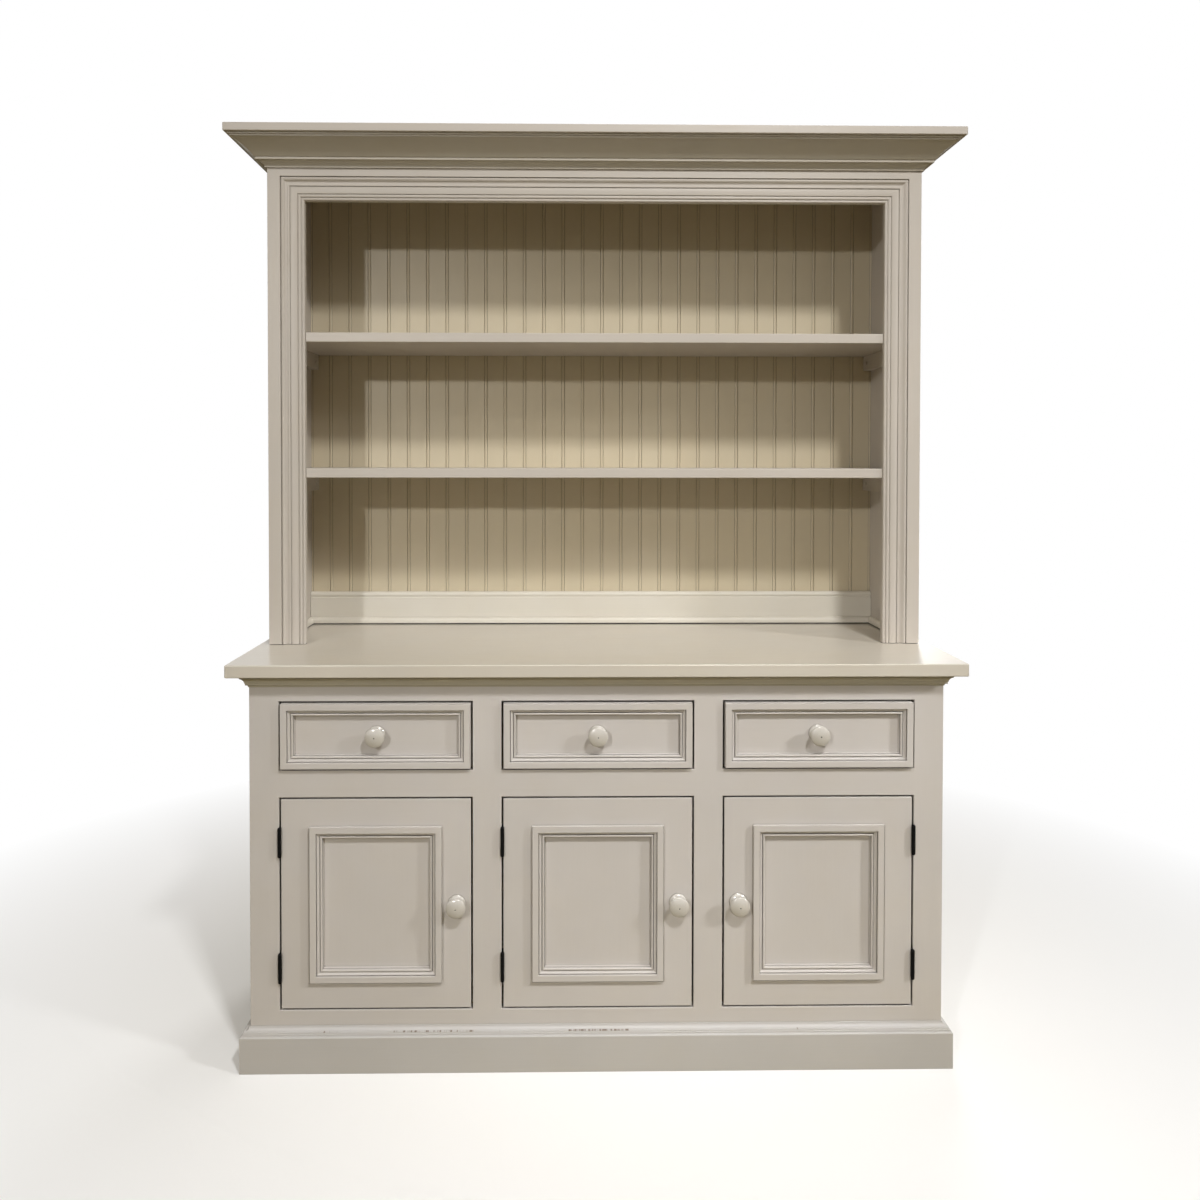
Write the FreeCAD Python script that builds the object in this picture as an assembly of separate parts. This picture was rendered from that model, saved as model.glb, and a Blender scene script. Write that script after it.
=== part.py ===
import FreeCAD, Part
import math
import os

# Step-back cupboard: a base with three drawers over three doors, a counter, and an
# open hutch with two shelves, a beaded back and a cornice. Sizes are millimetres.
# The origin is on the floor under the middle of the whole cupboard. X runs to the
# right, Y to the back and Z up; the front faces -Y.

# Driving sizes of the cupboard
OVERALL_HEIGHT = 2050.0
COUNTER_HEIGHT = 875.0
BASE_WIDTH = 1486.0
BASE_DEPTH = 442.0
HUTCH_WIDTH = 1512.0
HUTCH_DEPTH = 282.0
BAY_COUNT = 3
# The last bay's door hangs on its right edge, the others on their left
BAY_NAMES = ["left", "middle", "right"]

# Boards and clearances that the whole cupboard shares
CARCASS_BOARD = 19.0
FRAME_THICK = 20.0
REVEAL_GAP = 2.0
JOINT_GAP = 0.1
RUNNING_GAP = 0.3
EASED_EDGE = 1.5
OVERRUN = 10.0

# Mortise and tenon joints of every frame
TENON_LENGTH = 20.0
TENON_THICK = 7.0
TENON_SHOULDER = 12.0

# Plinth boards round the foot
PLINTH_THICK = 18.0
PLINTH_PLAIN = 74.0
PLINTH_CAP = 19.0
PLINTH_CAP_SHARES = [
    (1.0, 0.0),
    (1.0, 0.06),
    (0.959, 0.154, 0.86, 0.193),
    (0.74, 0.21),
    (0.74, 0.38),
    (0.66, 0.40),
    (0.66, 0.52),
    (0.56, 0.54),
    (0.24, 0.66, 0.10, 1.0),
    (0.0, 1.0),
]

# Face frame of the base
FRAME_STILE = 63.5
TOP_RAIL = 60.0
MID_RAIL = 60.0
BOTTOM_RAIL = 89.0
SILL_REVEAL = 33.0
DRAWER_OPENING = 146.0

# Carcass of the base
BASE_BACK_THICK = 6.0
STRETCHER_WIDTH = 80.0
DECK_THICK = 12.0
GUIDE_RISE = 30.0
BASE_SHELF_THICK = 19.0
BASE_SHELF_SHARE = 0.5
BASE_SHELF_SETBACK = 30.0
BASE_CLEAT_THICK = 15.0
BASE_CLEAT_RISE = 30.0
STOP_WIDTH = 40.0
STOP_DEPTH = 25.0
STOP_DROP = 12.0
STOP_INSET = 40.0

# Counter and the bed moulding under it
COUNTER_THICK = 27.0
COUNTER_OVERHANG = 38.0
COUNTER_CORNER = 4.0
COUNTER_EDGE = 2.5
BED_RISE = 28.0
BED_REACH = 16.5
BED_SHARES = [
    (0.0, 0.0),
    (0.09, 0.0),
    (0.15, 0.13, 0.34, 0.18),
    (0.39, 0.18),
    (0.39, 0.34),
    (0.45, 0.34),
    (0.60, 0.58, 0.93, 0.74),
    (0.93, 0.81),
    (1.0, 0.81),
    (1.0, 1.0),
    (0.0, 1.0),
]

# Moulding planted on the drawers and doors: outer band, step, cove and bead
MOULDING_WIDTH = 28.0
MOULDING_PROUD = 8.0
PANEL_RECESS = 9.0
MOULDING_CORNER = 3.0
MOULDING_SHARES = [
    (0.0, 0.86),
    (0.03, 0.96, 0.09, 1.0),
    (0.47, 0.98),
    (0.51, 0.96, 0.52, 0.91),
    (0.52, 0.73),
    (0.57, 0.73),
    (0.63, 0.57, 0.75, 0.48),
    (0.75, 0.37),
    (0.79, 0.37),
    (0.87, 0.48, 0.95, 0.37),
    (0.95, 0.30),
    (1.0, 0.28),
    (1.0, 0.0),
]

# Drawers
DRAWER_FRONT_THICK = 18.0
DRAWER_SIDE_THICK = 12.0
DRAWER_SIDE_RISE = 120.0
DRAWER_BACK_RISE = 95.0
DRAWER_LENGTH = 380.0
DRAWER_BOTTOM_THICK = 6.0
DRAWER_BOTTOM_LIFT = 10.0
DRAWER_GROOVE = 6.0

# Doors
DOOR_THICK = 20.0
MOULDING_SIDE_INSET = 62.0
MOULDING_END_INSET = 58.0
MOULDING_LAP = 8.0
PANEL_THICK = 7.0
GROOVE_DEPTH = 8.0
KNOB_EDGE = 31.0

# Butt hinges
HINGE_LENGTH = 58.0
HINGE_FROM_TOP = 92.0
HINGE_FROM_FOOT = 90.0
KNUCKLE_RADIUS = 4.0
KNUCKLE_COUNT = 5
KNUCKLE_GAP = 0.2
PIN_RADIUS = 1.8
PIN_FIT = 0.05
PIN_DOME = 4.0
LEAF_THICK = 2.0
LEAF_PLAY = 0.2
LEAF_MARGIN = 3.0

# Turned knobs, drawn as shares of the head's radius and of the projection
KNOB_RADIUS = 21.5
KNOB_PROJECTION = 29.0
KNOB_SPIGOT_RADIUS = 5.0
KNOB_SPIGOT_LENGTH = 10.0
KNOB_SHARES = [
    (0.87, 0.0),
    (0.91, 0.07, 0.85, 0.14),
    (0.53, 0.36, 0.80, 0.58),
    (1.0, 0.73, 0.93, 0.84),
    (0.50, 0.965, 0.04, 1.0),
    (0.0, 0.96),
]

# Hutch frame, boards and trims
HUTCH_STILE = 83.0
FRIEZE = 18.0
ARCHITRAVE_WIDTH = 54.0
ARCHITRAVE_RABBET = 9.0
ARCHITRAVE_SHARES = [
    (0.0, 0.66),
    (0.035, 0.66),
    (0.035, 0.80),
    (0.085, 0.97, 0.14, 0.80),
    (0.155, 0.80),
    (0.215, 0.58, 0.32, 0.54),
    (0.32, 0.74),
    (0.395, 0.72),
    (0.395, 0.50),
    (0.435, 0.50),
    (0.435, 0.62),
    (0.565, 0.68, 0.70, 0.55),
    (0.715, 0.52),
    (0.715, 0.36),
    (0.75, 0.36),
    (0.805, 0.56, 0.865, 0.40),
    (0.865, 0.27),
    (0.90, 0.27),
    (0.945, 0.45, 0.985, 0.33),
    (1.0, 0.24),
    (1.0, 0.0),
]
HUTCH_BACK_THICK = 15.0
BACK_RABBET = 8.0
BEAD_SPACING = 50.8
BEAD_WIDTH = 6.4
QUIRK_WIDTH = 1.2
QUIRK_DEPTH = 2.0
FOOT_GAP = 3.0
SKIRTING_RISE = 80.0
SKIRTING_THICK = 12.0
SKIRTING_SHARES = [
    (0.0, 0.0),
    (1.0, 0.0),
    (1.0, 0.82),
    (0.86, 0.83),
    (0.86, 0.85),
    (1.0, 0.91, 0.76, 0.98),
    (0.62, 1.0),
    (0.0, 1.0),
]
SHOE_RISE = 15.0
SHOE_THICK = 11.0
SHOE_SHARES = [
    (0.0, 0.0),
    (1.0, 0.0),
    (1.0, 0.25),
    (0.84, 0.74, 0.30, 1.0),
    (0.0, 1.0),
]

# Hutch shelves on screwed cleats, placed by shares of the opening's height
SHELF_THICK = 22.0
SHELF_SHARES = [0.377, 0.684]
SHELF_SETBACK = 12.0
CLEAT_THICK = 20.0
CLEAT_RISE = 37.0
SCREW_FROM_END = 24.0
SCREW_SHANK_RADIUS = 2.0
SCREW_HEAD_RADIUS = 4.2
SCREW_HEAD_RISE = 2.6
SCREW_BITE = 12.0
SCREW_SUNK = 3.0
SCREW_SLOT_WIDTH = 1.2
SCREW_SLOT_DEPTH = 0.8

# Cornice
CROWN_RISE = 58.0
CROWN_REACH = 65.0
CAP_THICK = 18.0
CAP_REACH = 73.0
CAP_CORNER = 2.0
CROWN_SHARES = [
    (0.0, 0.0),
    (0.07, 0.0),
    (0.07, 0.06),
    (0.13, 0.16, 0.27, 0.235),
    (0.315, 0.235),
    (0.315, 0.33),
    (0.35, 0.335),
    (0.62, 0.655, 0.945, 0.87),
    (0.955, 0.87),
    (0.955, 0.935),
    (1.0, 0.935),
    (1.0, 1.0),
    (0.0, 1.0),
]

X_AXIS = FreeCAD.Vector(1, 0, 0)
UP = FreeCAD.Vector(0, 0, 1)
FORWARD = FreeCAD.Vector(0, -1, 0)

# Places worked out from the sizes above
FRONT_REACH = max(COUNTER_OVERHANG, KNOB_PROJECTION)
FACE_Y = FRONT_REACH - (BASE_DEPTH + FRONT_REACH) / 2
BACK_Y = FACE_Y + BASE_DEPTH
FRAME_BACK_Y = FACE_Y + FRAME_THICK
BASE_HALF = BASE_WIDTH / 2
BASE_TOP = COUNTER_HEIGHT - COUNTER_THICK
BAY_WIDTH = (BASE_WIDTH - (BAY_COUNT + 1) * FRAME_STILE) / BAY_COUNT
BAY_PITCH = BAY_WIDTH + FRAME_STILE
BAY_CENTRES = [(i - (BAY_COUNT - 1) / 2) * BAY_PITCH for i in range(BAY_COUNT)]
MUNTIN_CENTRES = [centre + BAY_PITCH / 2 for centre in BAY_CENTRES[:-1]]
SILL_Z = PLINTH_PLAIN + PLINTH_CAP + SILL_REVEAL
DRAWER_TOP_Z = BASE_TOP - TOP_RAIL
DRAWER_FOOT_Z = DRAWER_TOP_Z - DRAWER_OPENING
LINTEL_Z = DRAWER_FOOT_Z - MID_RAIL
BASE_INSIDE_BACK_Y = BACK_Y - BASE_BACK_THICK
DECK_FOOT_Z = DRAWER_FOOT_Z - DECK_THICK
PARTITION_TOP_Z = BASE_TOP - CARCASS_BOARD
MOULDING_DEPTH = PANEL_RECESS + MOULDING_PROUD
PANEL_Y = FACE_Y + PANEL_RECESS
HINGE_Y = FACE_Y - KNUCKLE_RADIUS - RUNNING_GAP
LEAF_BACK_Y = FRAME_BACK_Y - LEAF_MARGIN

HUTCH_HALF = HUTCH_WIDTH / 2
HUTCH_FACE_Y = BACK_Y - HUTCH_DEPTH
HUTCH_FRAME_BACK_Y = HUTCH_FACE_Y + FRAME_THICK
HUTCH_OPENING_HALF = HUTCH_HALF - HUTCH_STILE
HUTCH_INSIDE_HALF = HUTCH_HALF - CARCASS_BOARD
BEADBOARD_Y = BACK_Y - HUTCH_BACK_THICK
CAP_FOOT_Z = OVERALL_HEIGHT - CAP_THICK
CROWN_FOOT_Z = CAP_FOOT_Z - CROWN_RISE
ARCHITRAVE_TOP_Z = CROWN_FOOT_Z - FRIEZE
HUTCH_OPENING_TOP_Z = ARCHITRAVE_TOP_Z - ARCHITRAVE_WIDTH
HUTCH_OPENING_RISE = HUTCH_OPENING_TOP_Z - COUNTER_HEIGHT
SHELF_FOOT_ZS = [COUNTER_HEIGHT + share * HUTCH_OPENING_RISE for share in SHELF_SHARES]


def vec(x, y, z):
    return FreeCAD.Vector(x, y, z)


def board(x0, x1, y0, y1, z0, z1):
    """A square-edged board between six planes."""
    return Part.makeBox(x1 - x0, y1 - y0, z1 - z0, vec(x0, y0, z0))


def mirrored(shape):
    """The same piece on the other side of the cupboard."""
    return shape.mirror(vec(0, 0, 0), X_AXIS)


def save(name, solids):
    """Write one node: a solid, or a group of separate solids."""
    shape = solids[0] if len(solids) == 1 else Part.makeCompound(solids)
    shape.exportStep("parts/" + name + ".step")


def scaled(shares, across, rise, lift=0.0):
    """Turn an outline's shares into real sizes: even entries go across, odd ones rise."""
    steps = []
    for step in shares:
        sizes = []
        for index, share in enumerate(step):
            sizes.append(share * rise + lift if index % 2 else share * across)
        steps.append(tuple(sizes))
    return steps


def section(steps, place):
    """A closed face: pairs are corners, fours are arcs given by a middle and an end."""
    start = place(*steps[0])
    here = start
    edges = []
    for step in steps[1:]:
        there = place(*step[-2:])
        if len(step) == 4:
            edges.append(Part.Arc(here, place(*step[:2]), there).toShape())
        else:
            edges.append(Part.LineSegment(here, there).toShape())
        here = there
    edges.append(Part.LineSegment(here, start).toShape())
    return Part.Face(Part.Wire(edges))


def trimmed(shape, corner, direction, reach):
    """Cut away what lies beyond a plane through a corner."""
    block = Part.makeBox(reach, 2 * reach, 2 * reach, vec(0, -reach, -reach))
    block.Placement = FreeCAD.Placement(corner, FreeCAD.Rotation(X_AXIS, direction)).multiply(
        block.Placement
    )
    return shape.cut(block)


def mitred_runs(corners, rising, steps, closed=False):
    """Lengths of one moulding along a path, mitred where they meet.

    The section's first size runs to the right of the path and its second along rising.
    """
    count = len(corners)
    run_count = count if closed else count - 1
    widest = max(max(step[0::2]) for step in steps)
    tallest = max(max(step[1::2]) for step in steps)
    spare = widest + OVERRUN
    reach = 2 * (spare + tallest)
    directions = []
    for i in range(run_count):
        step = corners[(i + 1) % count] - corners[i]
        directions.append(step.normalize())
    runs = []
    for i in range(run_count):
        start = corners[i]
        end = corners[(i + 1) % count]
        along = directions[i]
        right = along.cross(rising)
        first_mitre = closed or i > 0
        last_mitre = closed or i < run_count - 1
        begin = start - along * spare if first_mitre else start
        finish = end + along * spare if last_mitre else end
        face = section(steps, lambda a, b: begin + right * a + rising * b)
        run = face.extrude(finish - begin)
        if first_mitre:
            lean = (directions[i - 1] + along).normalize()
            run = trimmed(run, start, lean * -1, reach)
        if last_mitre:
            lean = (along + directions[(i + 1) % run_count]).normalize()
            run = trimmed(run, end, lean, reach)
        runs.append(run.Solids[0])
    return runs


def rail_tongue(x0, x1, z0, z1, face_y, thick, slack=0.0):
    """The tenons at both ends of a rail, as one block through it."""
    middle = face_y + thick / 2
    half = TENON_THICK / 2 + slack
    reach = TENON_LENGTH + slack
    inset = TENON_SHOULDER - slack
    return board(x0 - reach, x1 + reach, middle - half, middle + half, z0 + inset, z1 - inset)


def upright_tongue(x0, x1, z0, z1, face_y, thick, slack=0.0):
    """The tenons at both ends of an upright, as one block through it."""
    middle = face_y + thick / 2
    half = TENON_THICK / 2 + slack
    reach = TENON_LENGTH + slack
    inset = TENON_SHOULDER - slack
    return board(x0 + inset, x1 - inset, middle - half, middle + half, z0 - reach, z1 + reach)


def joined(body, tongue):
    """A frame member with its tenons, as one solid."""
    return body.fuse(tongue).removeSplitter()


def cut_all(shape, cutters):
    """A shape with a list of pockets taken out."""
    for cutter in cutters:
        shape = shape.cut(cutter)
    return shape


def rounded_slab(x_half, y0, y1, z0, z1, corner, edge):
    """A top board with rounded front corners and eased edges, square at the back."""
    slab = board(-x_half, x_half, y0, y1, z0, z1)
    uprights = [e for e in slab.Edges if is_upright(e) and e.CenterOfMass.y < y1 - corner]
    slab = slab.makeFillet(corner, uprights)
    rims = []
    for e in slab.Edges:
        flat = e.BoundBox.ZLength < edge
        in_front = e.BoundBox.YMin < y1 - edge
        if flat and in_front:
            rims.append(e)
    return slab.makeFillet(edge, rims)


def is_upright(edge):
    box = edge.BoundBox
    return box.ZLength > box.XLength + box.YLength


# Base carcass

def bay_edges(index):
    """The left and right edges of a bay's opening."""
    return BAY_CENTRES[index] - BAY_WIDTH / 2, BAY_CENTRES[index] + BAY_WIDTH / 2


def bay_walls(index):
    """The inner faces of the side boards or partitions that bound a bay."""
    left = -BASE_HALF + CARCASS_BOARD
    right = BASE_HALF - CARCASS_BOARD
    if index > 0:
        left = MUNTIN_CENTRES[index - 1] + CARCASS_BOARD / 2
    if index < BAY_COUNT - 1:
        right = MUNTIN_CENTRES[index] - CARCASS_BOARD / 2
    return left, right


def plinth():
    steps = [(0.0, 0.0), (PLINTH_THICK, 0.0)]
    steps += scaled(PLINTH_CAP_SHARES, PLINTH_THICK, PLINTH_CAP, PLINTH_PLAIN)
    corners = [
        vec(-BASE_HALF, BACK_Y, 0),
        vec(-BASE_HALF, FACE_Y, 0),
        vec(BASE_HALF, FACE_Y, 0),
        vec(BASE_HALF, BACK_Y, 0),
    ]
    return mitred_runs(corners, UP, steps)


def long_rail_spans():
    """Left, right, foot and top of the two rails that run from stile to stile."""
    inner = BASE_HALF - FRAME_STILE
    return [
        (-inner, inner, DRAWER_TOP_Z, BASE_TOP),
        (-inner, inner, SILL_Z - BOTTOM_RAIL, SILL_Z),
    ]


def short_rail_spans():
    """The rails between drawers and doors, one to a bay."""
    return [(*bay_edges(index), LINTEL_Z, DRAWER_FOOT_Z) for index in range(BAY_COUNT)]


def muntin_spans():
    half = FRAME_STILE / 2
    return [(c - half, c + half, SILL_Z, DRAWER_TOP_Z) for c in MUNTIN_CENTRES]


def frame_rails():
    mortises = [
        upright_tongue(*span, FACE_Y, FRAME_THICK, JOINT_GAP) for span in muntin_spans()
    ]
    long_rails = [cut_all(frame_rail(*span), mortises) for span in long_rail_spans()]
    short_rails = [frame_rail(*span) for span in short_rail_spans()]
    return [rail.Solids[0] for rail in long_rails + short_rails]


def frame_rail(x0, x1, z0, z1):
    body = board(x0, x1, FACE_Y, FRAME_BACK_Y, z0, z1)
    return joined(body, rail_tongue(x0, x1, z0, z1, FACE_Y, FRAME_THICK))


def rail_mortises(spans):
    return [rail_tongue(*span, FACE_Y, FRAME_THICK, JOINT_GAP) for span in spans]


def frame_stiles():
    pockets = rail_mortises(long_rail_spans() + short_rail_spans()) + hinge_pockets(True)
    inner = BASE_HALF - FRAME_STILE
    left = board(-BASE_HALF, -inner, FACE_Y, FRAME_BACK_Y, 0, BASE_TOP)
    right = board(inner, BASE_HALF, FACE_Y, FRAME_BACK_Y, 0, BASE_TOP)
    return [cut_all(post, pockets).Solids[0] for post in (left, right)]


def frame_muntins():
    pockets = rail_mortises(short_rail_spans()) + hinge_pockets(True)
    posts = []
    for x0, x1, z0, z1 in muntin_spans():
        body = board(x0, x1, FACE_Y, FRAME_BACK_Y, z0, z1)
        post = joined(body, upright_tongue(x0, x1, z0, z1, FACE_Y, FRAME_THICK))
        posts.append(cut_all(post, pockets).Solids[0])
    return posts


def base_sides():
    left = board(
        -BASE_HALF, -BASE_HALF + CARCASS_BOARD, FRAME_BACK_Y, BACK_Y, 0, BASE_TOP
    )
    return [left, mirrored(left)]


def base_bottom():
    inner = BASE_HALF - CARCASS_BOARD
    return [board(-inner, inner, FRAME_BACK_Y, BASE_INSIDE_BACK_Y, SILL_Z - CARCASS_BOARD, SILL_Z)]


def base_back():
    inner = BASE_HALF - CARCASS_BOARD
    return [board(-inner, inner, BASE_INSIDE_BACK_Y, BACK_Y, SILL_Z - CARCASS_BOARD, BASE_TOP)]


def base_partitions():
    half = CARCASS_BOARD / 2
    return [
        board(c - half, c + half, FRAME_BACK_Y, BASE_INSIDE_BACK_Y, SILL_Z, PARTITION_TOP_Z)
        for c in MUNTIN_CENTRES
    ]


def base_stretchers():
    inner = BASE_HALF - CARCASS_BOARD
    front = board(
        -inner, inner, FRAME_BACK_Y, FRAME_BACK_Y + STRETCHER_WIDTH, PARTITION_TOP_Z, BASE_TOP
    )
    rear = board(
        -inner,
        inner,
        BASE_INSIDE_BACK_Y - STRETCHER_WIDTH,
        BASE_INSIDE_BACK_Y,
        PARTITION_TOP_Z,
        BASE_TOP,
    )
    return [front, rear]


def drawer_decks():
    decks = []
    for index in range(BAY_COUNT):
        left, right = bay_walls(index)
        decks.append(
            board(left, right, FRAME_BACK_Y, BASE_INSIDE_BACK_Y, DECK_FOOT_Z, DRAWER_FOOT_Z)
        )
    return decks


def drawer_guides():
    """Strips that fill the space between each drawer's opening and the bay's walls."""
    guides = []
    top = DRAWER_FOOT_Z + GUIDE_RISE
    for index in range(BAY_COUNT):
        wall_left, wall_right = bay_walls(index)
        left, right = bay_edges(index)
        for x0, x1 in ((wall_left, left), (right, wall_right)):
            guides.append(board(x0, x1, FRAME_BACK_Y, BASE_INSIDE_BACK_Y, DRAWER_FOOT_Z, top))
    return guides


def base_shelf_foot():
    return SILL_Z + (LINTEL_Z - SILL_Z) * BASE_SHELF_SHARE


def base_shelves():
    shelves = []
    foot = base_shelf_foot()
    front = FRAME_BACK_Y + BASE_SHELF_SETBACK
    for index in range(BAY_COUNT):
        left, right = bay_walls(index)
        shelf = board(
            left + RUNNING_GAP,
            right - RUNNING_GAP,
            front,
            BASE_INSIDE_BACK_Y - RUNNING_GAP,
            foot,
            foot + BASE_SHELF_THICK,
        )
        shelves.append(eased_front(shelf, front))
    return shelves


def eased_front(shelf, front_y):
    """Round the two long edges of a shelf's front."""
    long_edges = []
    for edge in shelf.Edges:
        box = edge.BoundBox
        at_front = box.YMax < front_y + EASED_EDGE
        if at_front and box.XLength > box.ZLength:
            long_edges.append(edge)
    return shelf.makeFillet(EASED_EDGE, long_edges).Solids[0]


def base_cleats():
    foot = base_shelf_foot() - BASE_CLEAT_RISE
    front = FRAME_BACK_Y + BASE_SHELF_SETBACK
    cleats = []
    for index in range(BAY_COUNT):
        left, right = bay_walls(index)
        for x0, x1 in ((left, left + BASE_CLEAT_THICK), (right - BASE_CLEAT_THICK, right)):
            cleats.append(
                board(x0, x1, front, BASE_INSIDE_BACK_Y, foot, foot + BASE_CLEAT_RISE)
            )
    return cleats


def door_stops():
    """Blocks under the drawer deck that each door closes against, near its free edge."""
    blocks = []
    for index in range(BAY_COUNT):
        side = free_side(index)
        edge = bay_edges(index)[1 if side > 0 else 0]
        near = edge - side * STOP_INSET
        far = near - side * STOP_WIDTH
        front = FRAME_BACK_Y + RUNNING_GAP
        blocks.append(
            board(
                min(near, far),
                max(near, far),
                front,
                front + STOP_DEPTH,
                LINTEL_Z - STOP_DROP,
                DECK_FOOT_Z,
            )
        )
    return blocks


# Hinges

def hinge_side(index):
    """-1 where a door hangs on its left edge, 1 on its right."""
    return 1 if index == BAY_COUNT - 1 else -1


def free_side(index):
    return -hinge_side(index)


def hinge_x(index):
    """The pin line, in the middle of the gap between frame and door."""
    left, right = bay_edges(index)
    return left + REVEAL_GAP / 2 if hinge_side(index) < 0 else right - REVEAL_GAP / 2


def hinge_heights():
    return [
        SILL_Z + REVEAL_GAP + HINGE_FROM_FOOT,
        LINTEL_Z - REVEAL_GAP - HINGE_FROM_TOP,
    ]


def leaf_box(axis_x, toward, middle_z, front_y, slack=0.0):
    """The flat plate of one leaf, on the side of the pin that toward gives."""
    near = axis_x + toward * (LEAF_PLAY / 2 - slack)
    far = axis_x + toward * (LEAF_PLAY / 2 + LEAF_THICK + slack)
    half = HINGE_LENGTH / 2 + slack
    return board(
        min(near, far),
        max(near, far),
        front_y,
        LEAF_BACK_Y + slack,
        middle_z - half,
        middle_z + half,
    )


def hinge_pockets(in_frame):
    """Pockets for the leaves, in the frame's edge or in the doors' edges."""
    pockets = []
    for index in range(BAY_COUNT):
        toward = hinge_side(index) if in_frame else free_side(index)
        for middle in hinge_heights():
            pockets.append(
                leaf_box(hinge_x(index), toward, middle, FACE_Y - OVERRUN, JOINT_GAP)
            )
    return pockets


def rod(axis_x, foot, top, radius):
    return Part.makeCylinder(radius, top - foot, vec(axis_x, HINGE_Y, foot))


def hinge_leaf(index, middle, in_frame):
    """One leaf with its share of the knuckles: the frame's leaf has the outer ones."""
    axis_x = hinge_x(index)
    toward = hinge_side(index) if in_frame else free_side(index)
    foot = middle - HINGE_LENGTH / 2
    pitch = HINGE_LENGTH / KNUCKLE_COUNT
    plate = leaf_box(axis_x, toward, middle, HINGE_Y)
    own = 0 if in_frame else 1
    knuckles = []
    for number in range(KNUCKLE_COUNT):
        low = foot + number * pitch
        if number % 2 == own:
            trim_low = KNUCKLE_GAP / 2 if number > 0 else 0.0
            trim_high = KNUCKLE_GAP / 2 if number < KNUCKLE_COUNT - 1 else 0.0
            knuckles.append(rod(axis_x, low + trim_low, low + pitch - trim_high, KNUCKLE_RADIUS))
        else:
            spare = KNUCKLE_GAP / 2
            other = rod(axis_x, low - spare, low + pitch + spare, KNUCKLE_RADIUS + RUNNING_GAP)
            plate = plate.cut(other)
    leaf = plate.fuse(knuckles)
    bore = rod(axis_x, foot - OVERRUN, foot + HINGE_LENGTH + OVERRUN, PIN_RADIUS + PIN_FIT)
    return leaf.cut(bore).removeSplitter().Solids[0]


def frame_leaves():
    leaves = []
    for index in range(BAY_COUNT):
        for middle in hinge_heights():
            leaves.append(hinge_leaf(index, middle, True))
    return leaves


def door_leaves(index):
    return [hinge_leaf(index, middle, False) for middle in hinge_heights()]


def hinge_pins():
    """A pin through each barrel, with a domed tip at both ends."""
    pins = []
    for index in range(BAY_COUNT):
        for middle in hinge_heights():
            pins.append(hinge_pin(hinge_x(index), middle))
    return pins


def hinge_pin(axis_x, middle):
    half = HINGE_LENGTH / 2
    base = vec(axis_x, HINGE_Y, middle)

    def place(radial, rise):
        return base + X_AXIS * radial + UP * rise

    bend = math.cos(math.pi / 4)
    top = half + PIN_DOME
    arc_across = KNUCKLE_RADIUS * bend
    arc_rise = PIN_DOME * bend
    steps = [
        (0.0, -top),
        (arc_across, -half - arc_rise, KNUCKLE_RADIUS, -half),
        (PIN_RADIUS, -half),
        (PIN_RADIUS, half),
        (KNUCKLE_RADIUS, half),
        (arc_across, half + arc_rise, 0.0, top),
    ]
    return section(steps, place).revolve(base, UP, 360).Solids[0]


# Doors

def door_edges(index):
    left, right = bay_edges(index)
    return left + REVEAL_GAP, right - REVEAL_GAP, SILL_Z + REVEAL_GAP, LINTEL_Z - REVEAL_GAP


def knob_place(index):
    """Where a door's knob sits: on the free stile at half height."""
    left, right, foot, top = door_edges(index)
    x = right - KNOB_EDGE if free_side(index) > 0 else left + KNOB_EDGE
    return x, FACE_Y, (foot + top) / 2


def door_frame(index):
    left, right, foot, top = door_edges(index)
    stile_width = MOULDING_SIDE_INSET + MOULDING_LAP
    rail_width = MOULDING_END_INSET + MOULDING_LAP
    back_y = FACE_Y + DOOR_THICK
    inner_left = left + stile_width
    inner_right = right - stile_width
    rail_spans = [
        (inner_left, inner_right, foot, foot + rail_width),
        (inner_left, inner_right, top - rail_width, top),
    ]
    groove = board(
        inner_left - GROOVE_DEPTH,
        inner_right + GROOVE_DEPTH,
        PANEL_Y - JOINT_GAP,
        PANEL_Y + PANEL_THICK + JOINT_GAP,
        foot + rail_width - GROOVE_DEPTH,
        top - rail_width + GROOVE_DEPTH,
    )
    x, y, z = knob_place(index)
    pockets = [groove, knob_hole(x, y, z)] + hinge_pockets(False)
    for span in rail_spans:
        pockets.append(rail_tongue(*span, FACE_Y, DOOR_THICK, JOINT_GAP))
    members = []
    for x0, x1 in ((left, inner_left), (inner_right, right)):
        stile = board(x0, x1, FACE_Y, back_y, foot, top)
        members.append(cut_all(stile, pockets).Solids[0])
    for span in rail_spans:
        x0, x1, z0, z1 = span
        body = board(x0, x1, FACE_Y, back_y, z0, z1)
        rail = joined(body, rail_tongue(*span, FACE_Y, DOOR_THICK)).cut(groove)
        members.append(rail.Solids[0])
    return members


def door_panel(index):
    left, right, foot, top = door_edges(index)
    side_inset = MOULDING_SIDE_INSET + MOULDING_LAP - GROOVE_DEPTH + JOINT_GAP
    end_inset = MOULDING_END_INSET + MOULDING_LAP - GROOVE_DEPTH + JOINT_GAP
    return [
        board(
            left + side_inset,
            right - side_inset,
            PANEL_Y,
            PANEL_Y + PANEL_THICK,
            foot + end_inset,
            top - end_inset,
        )
    ]


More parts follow.
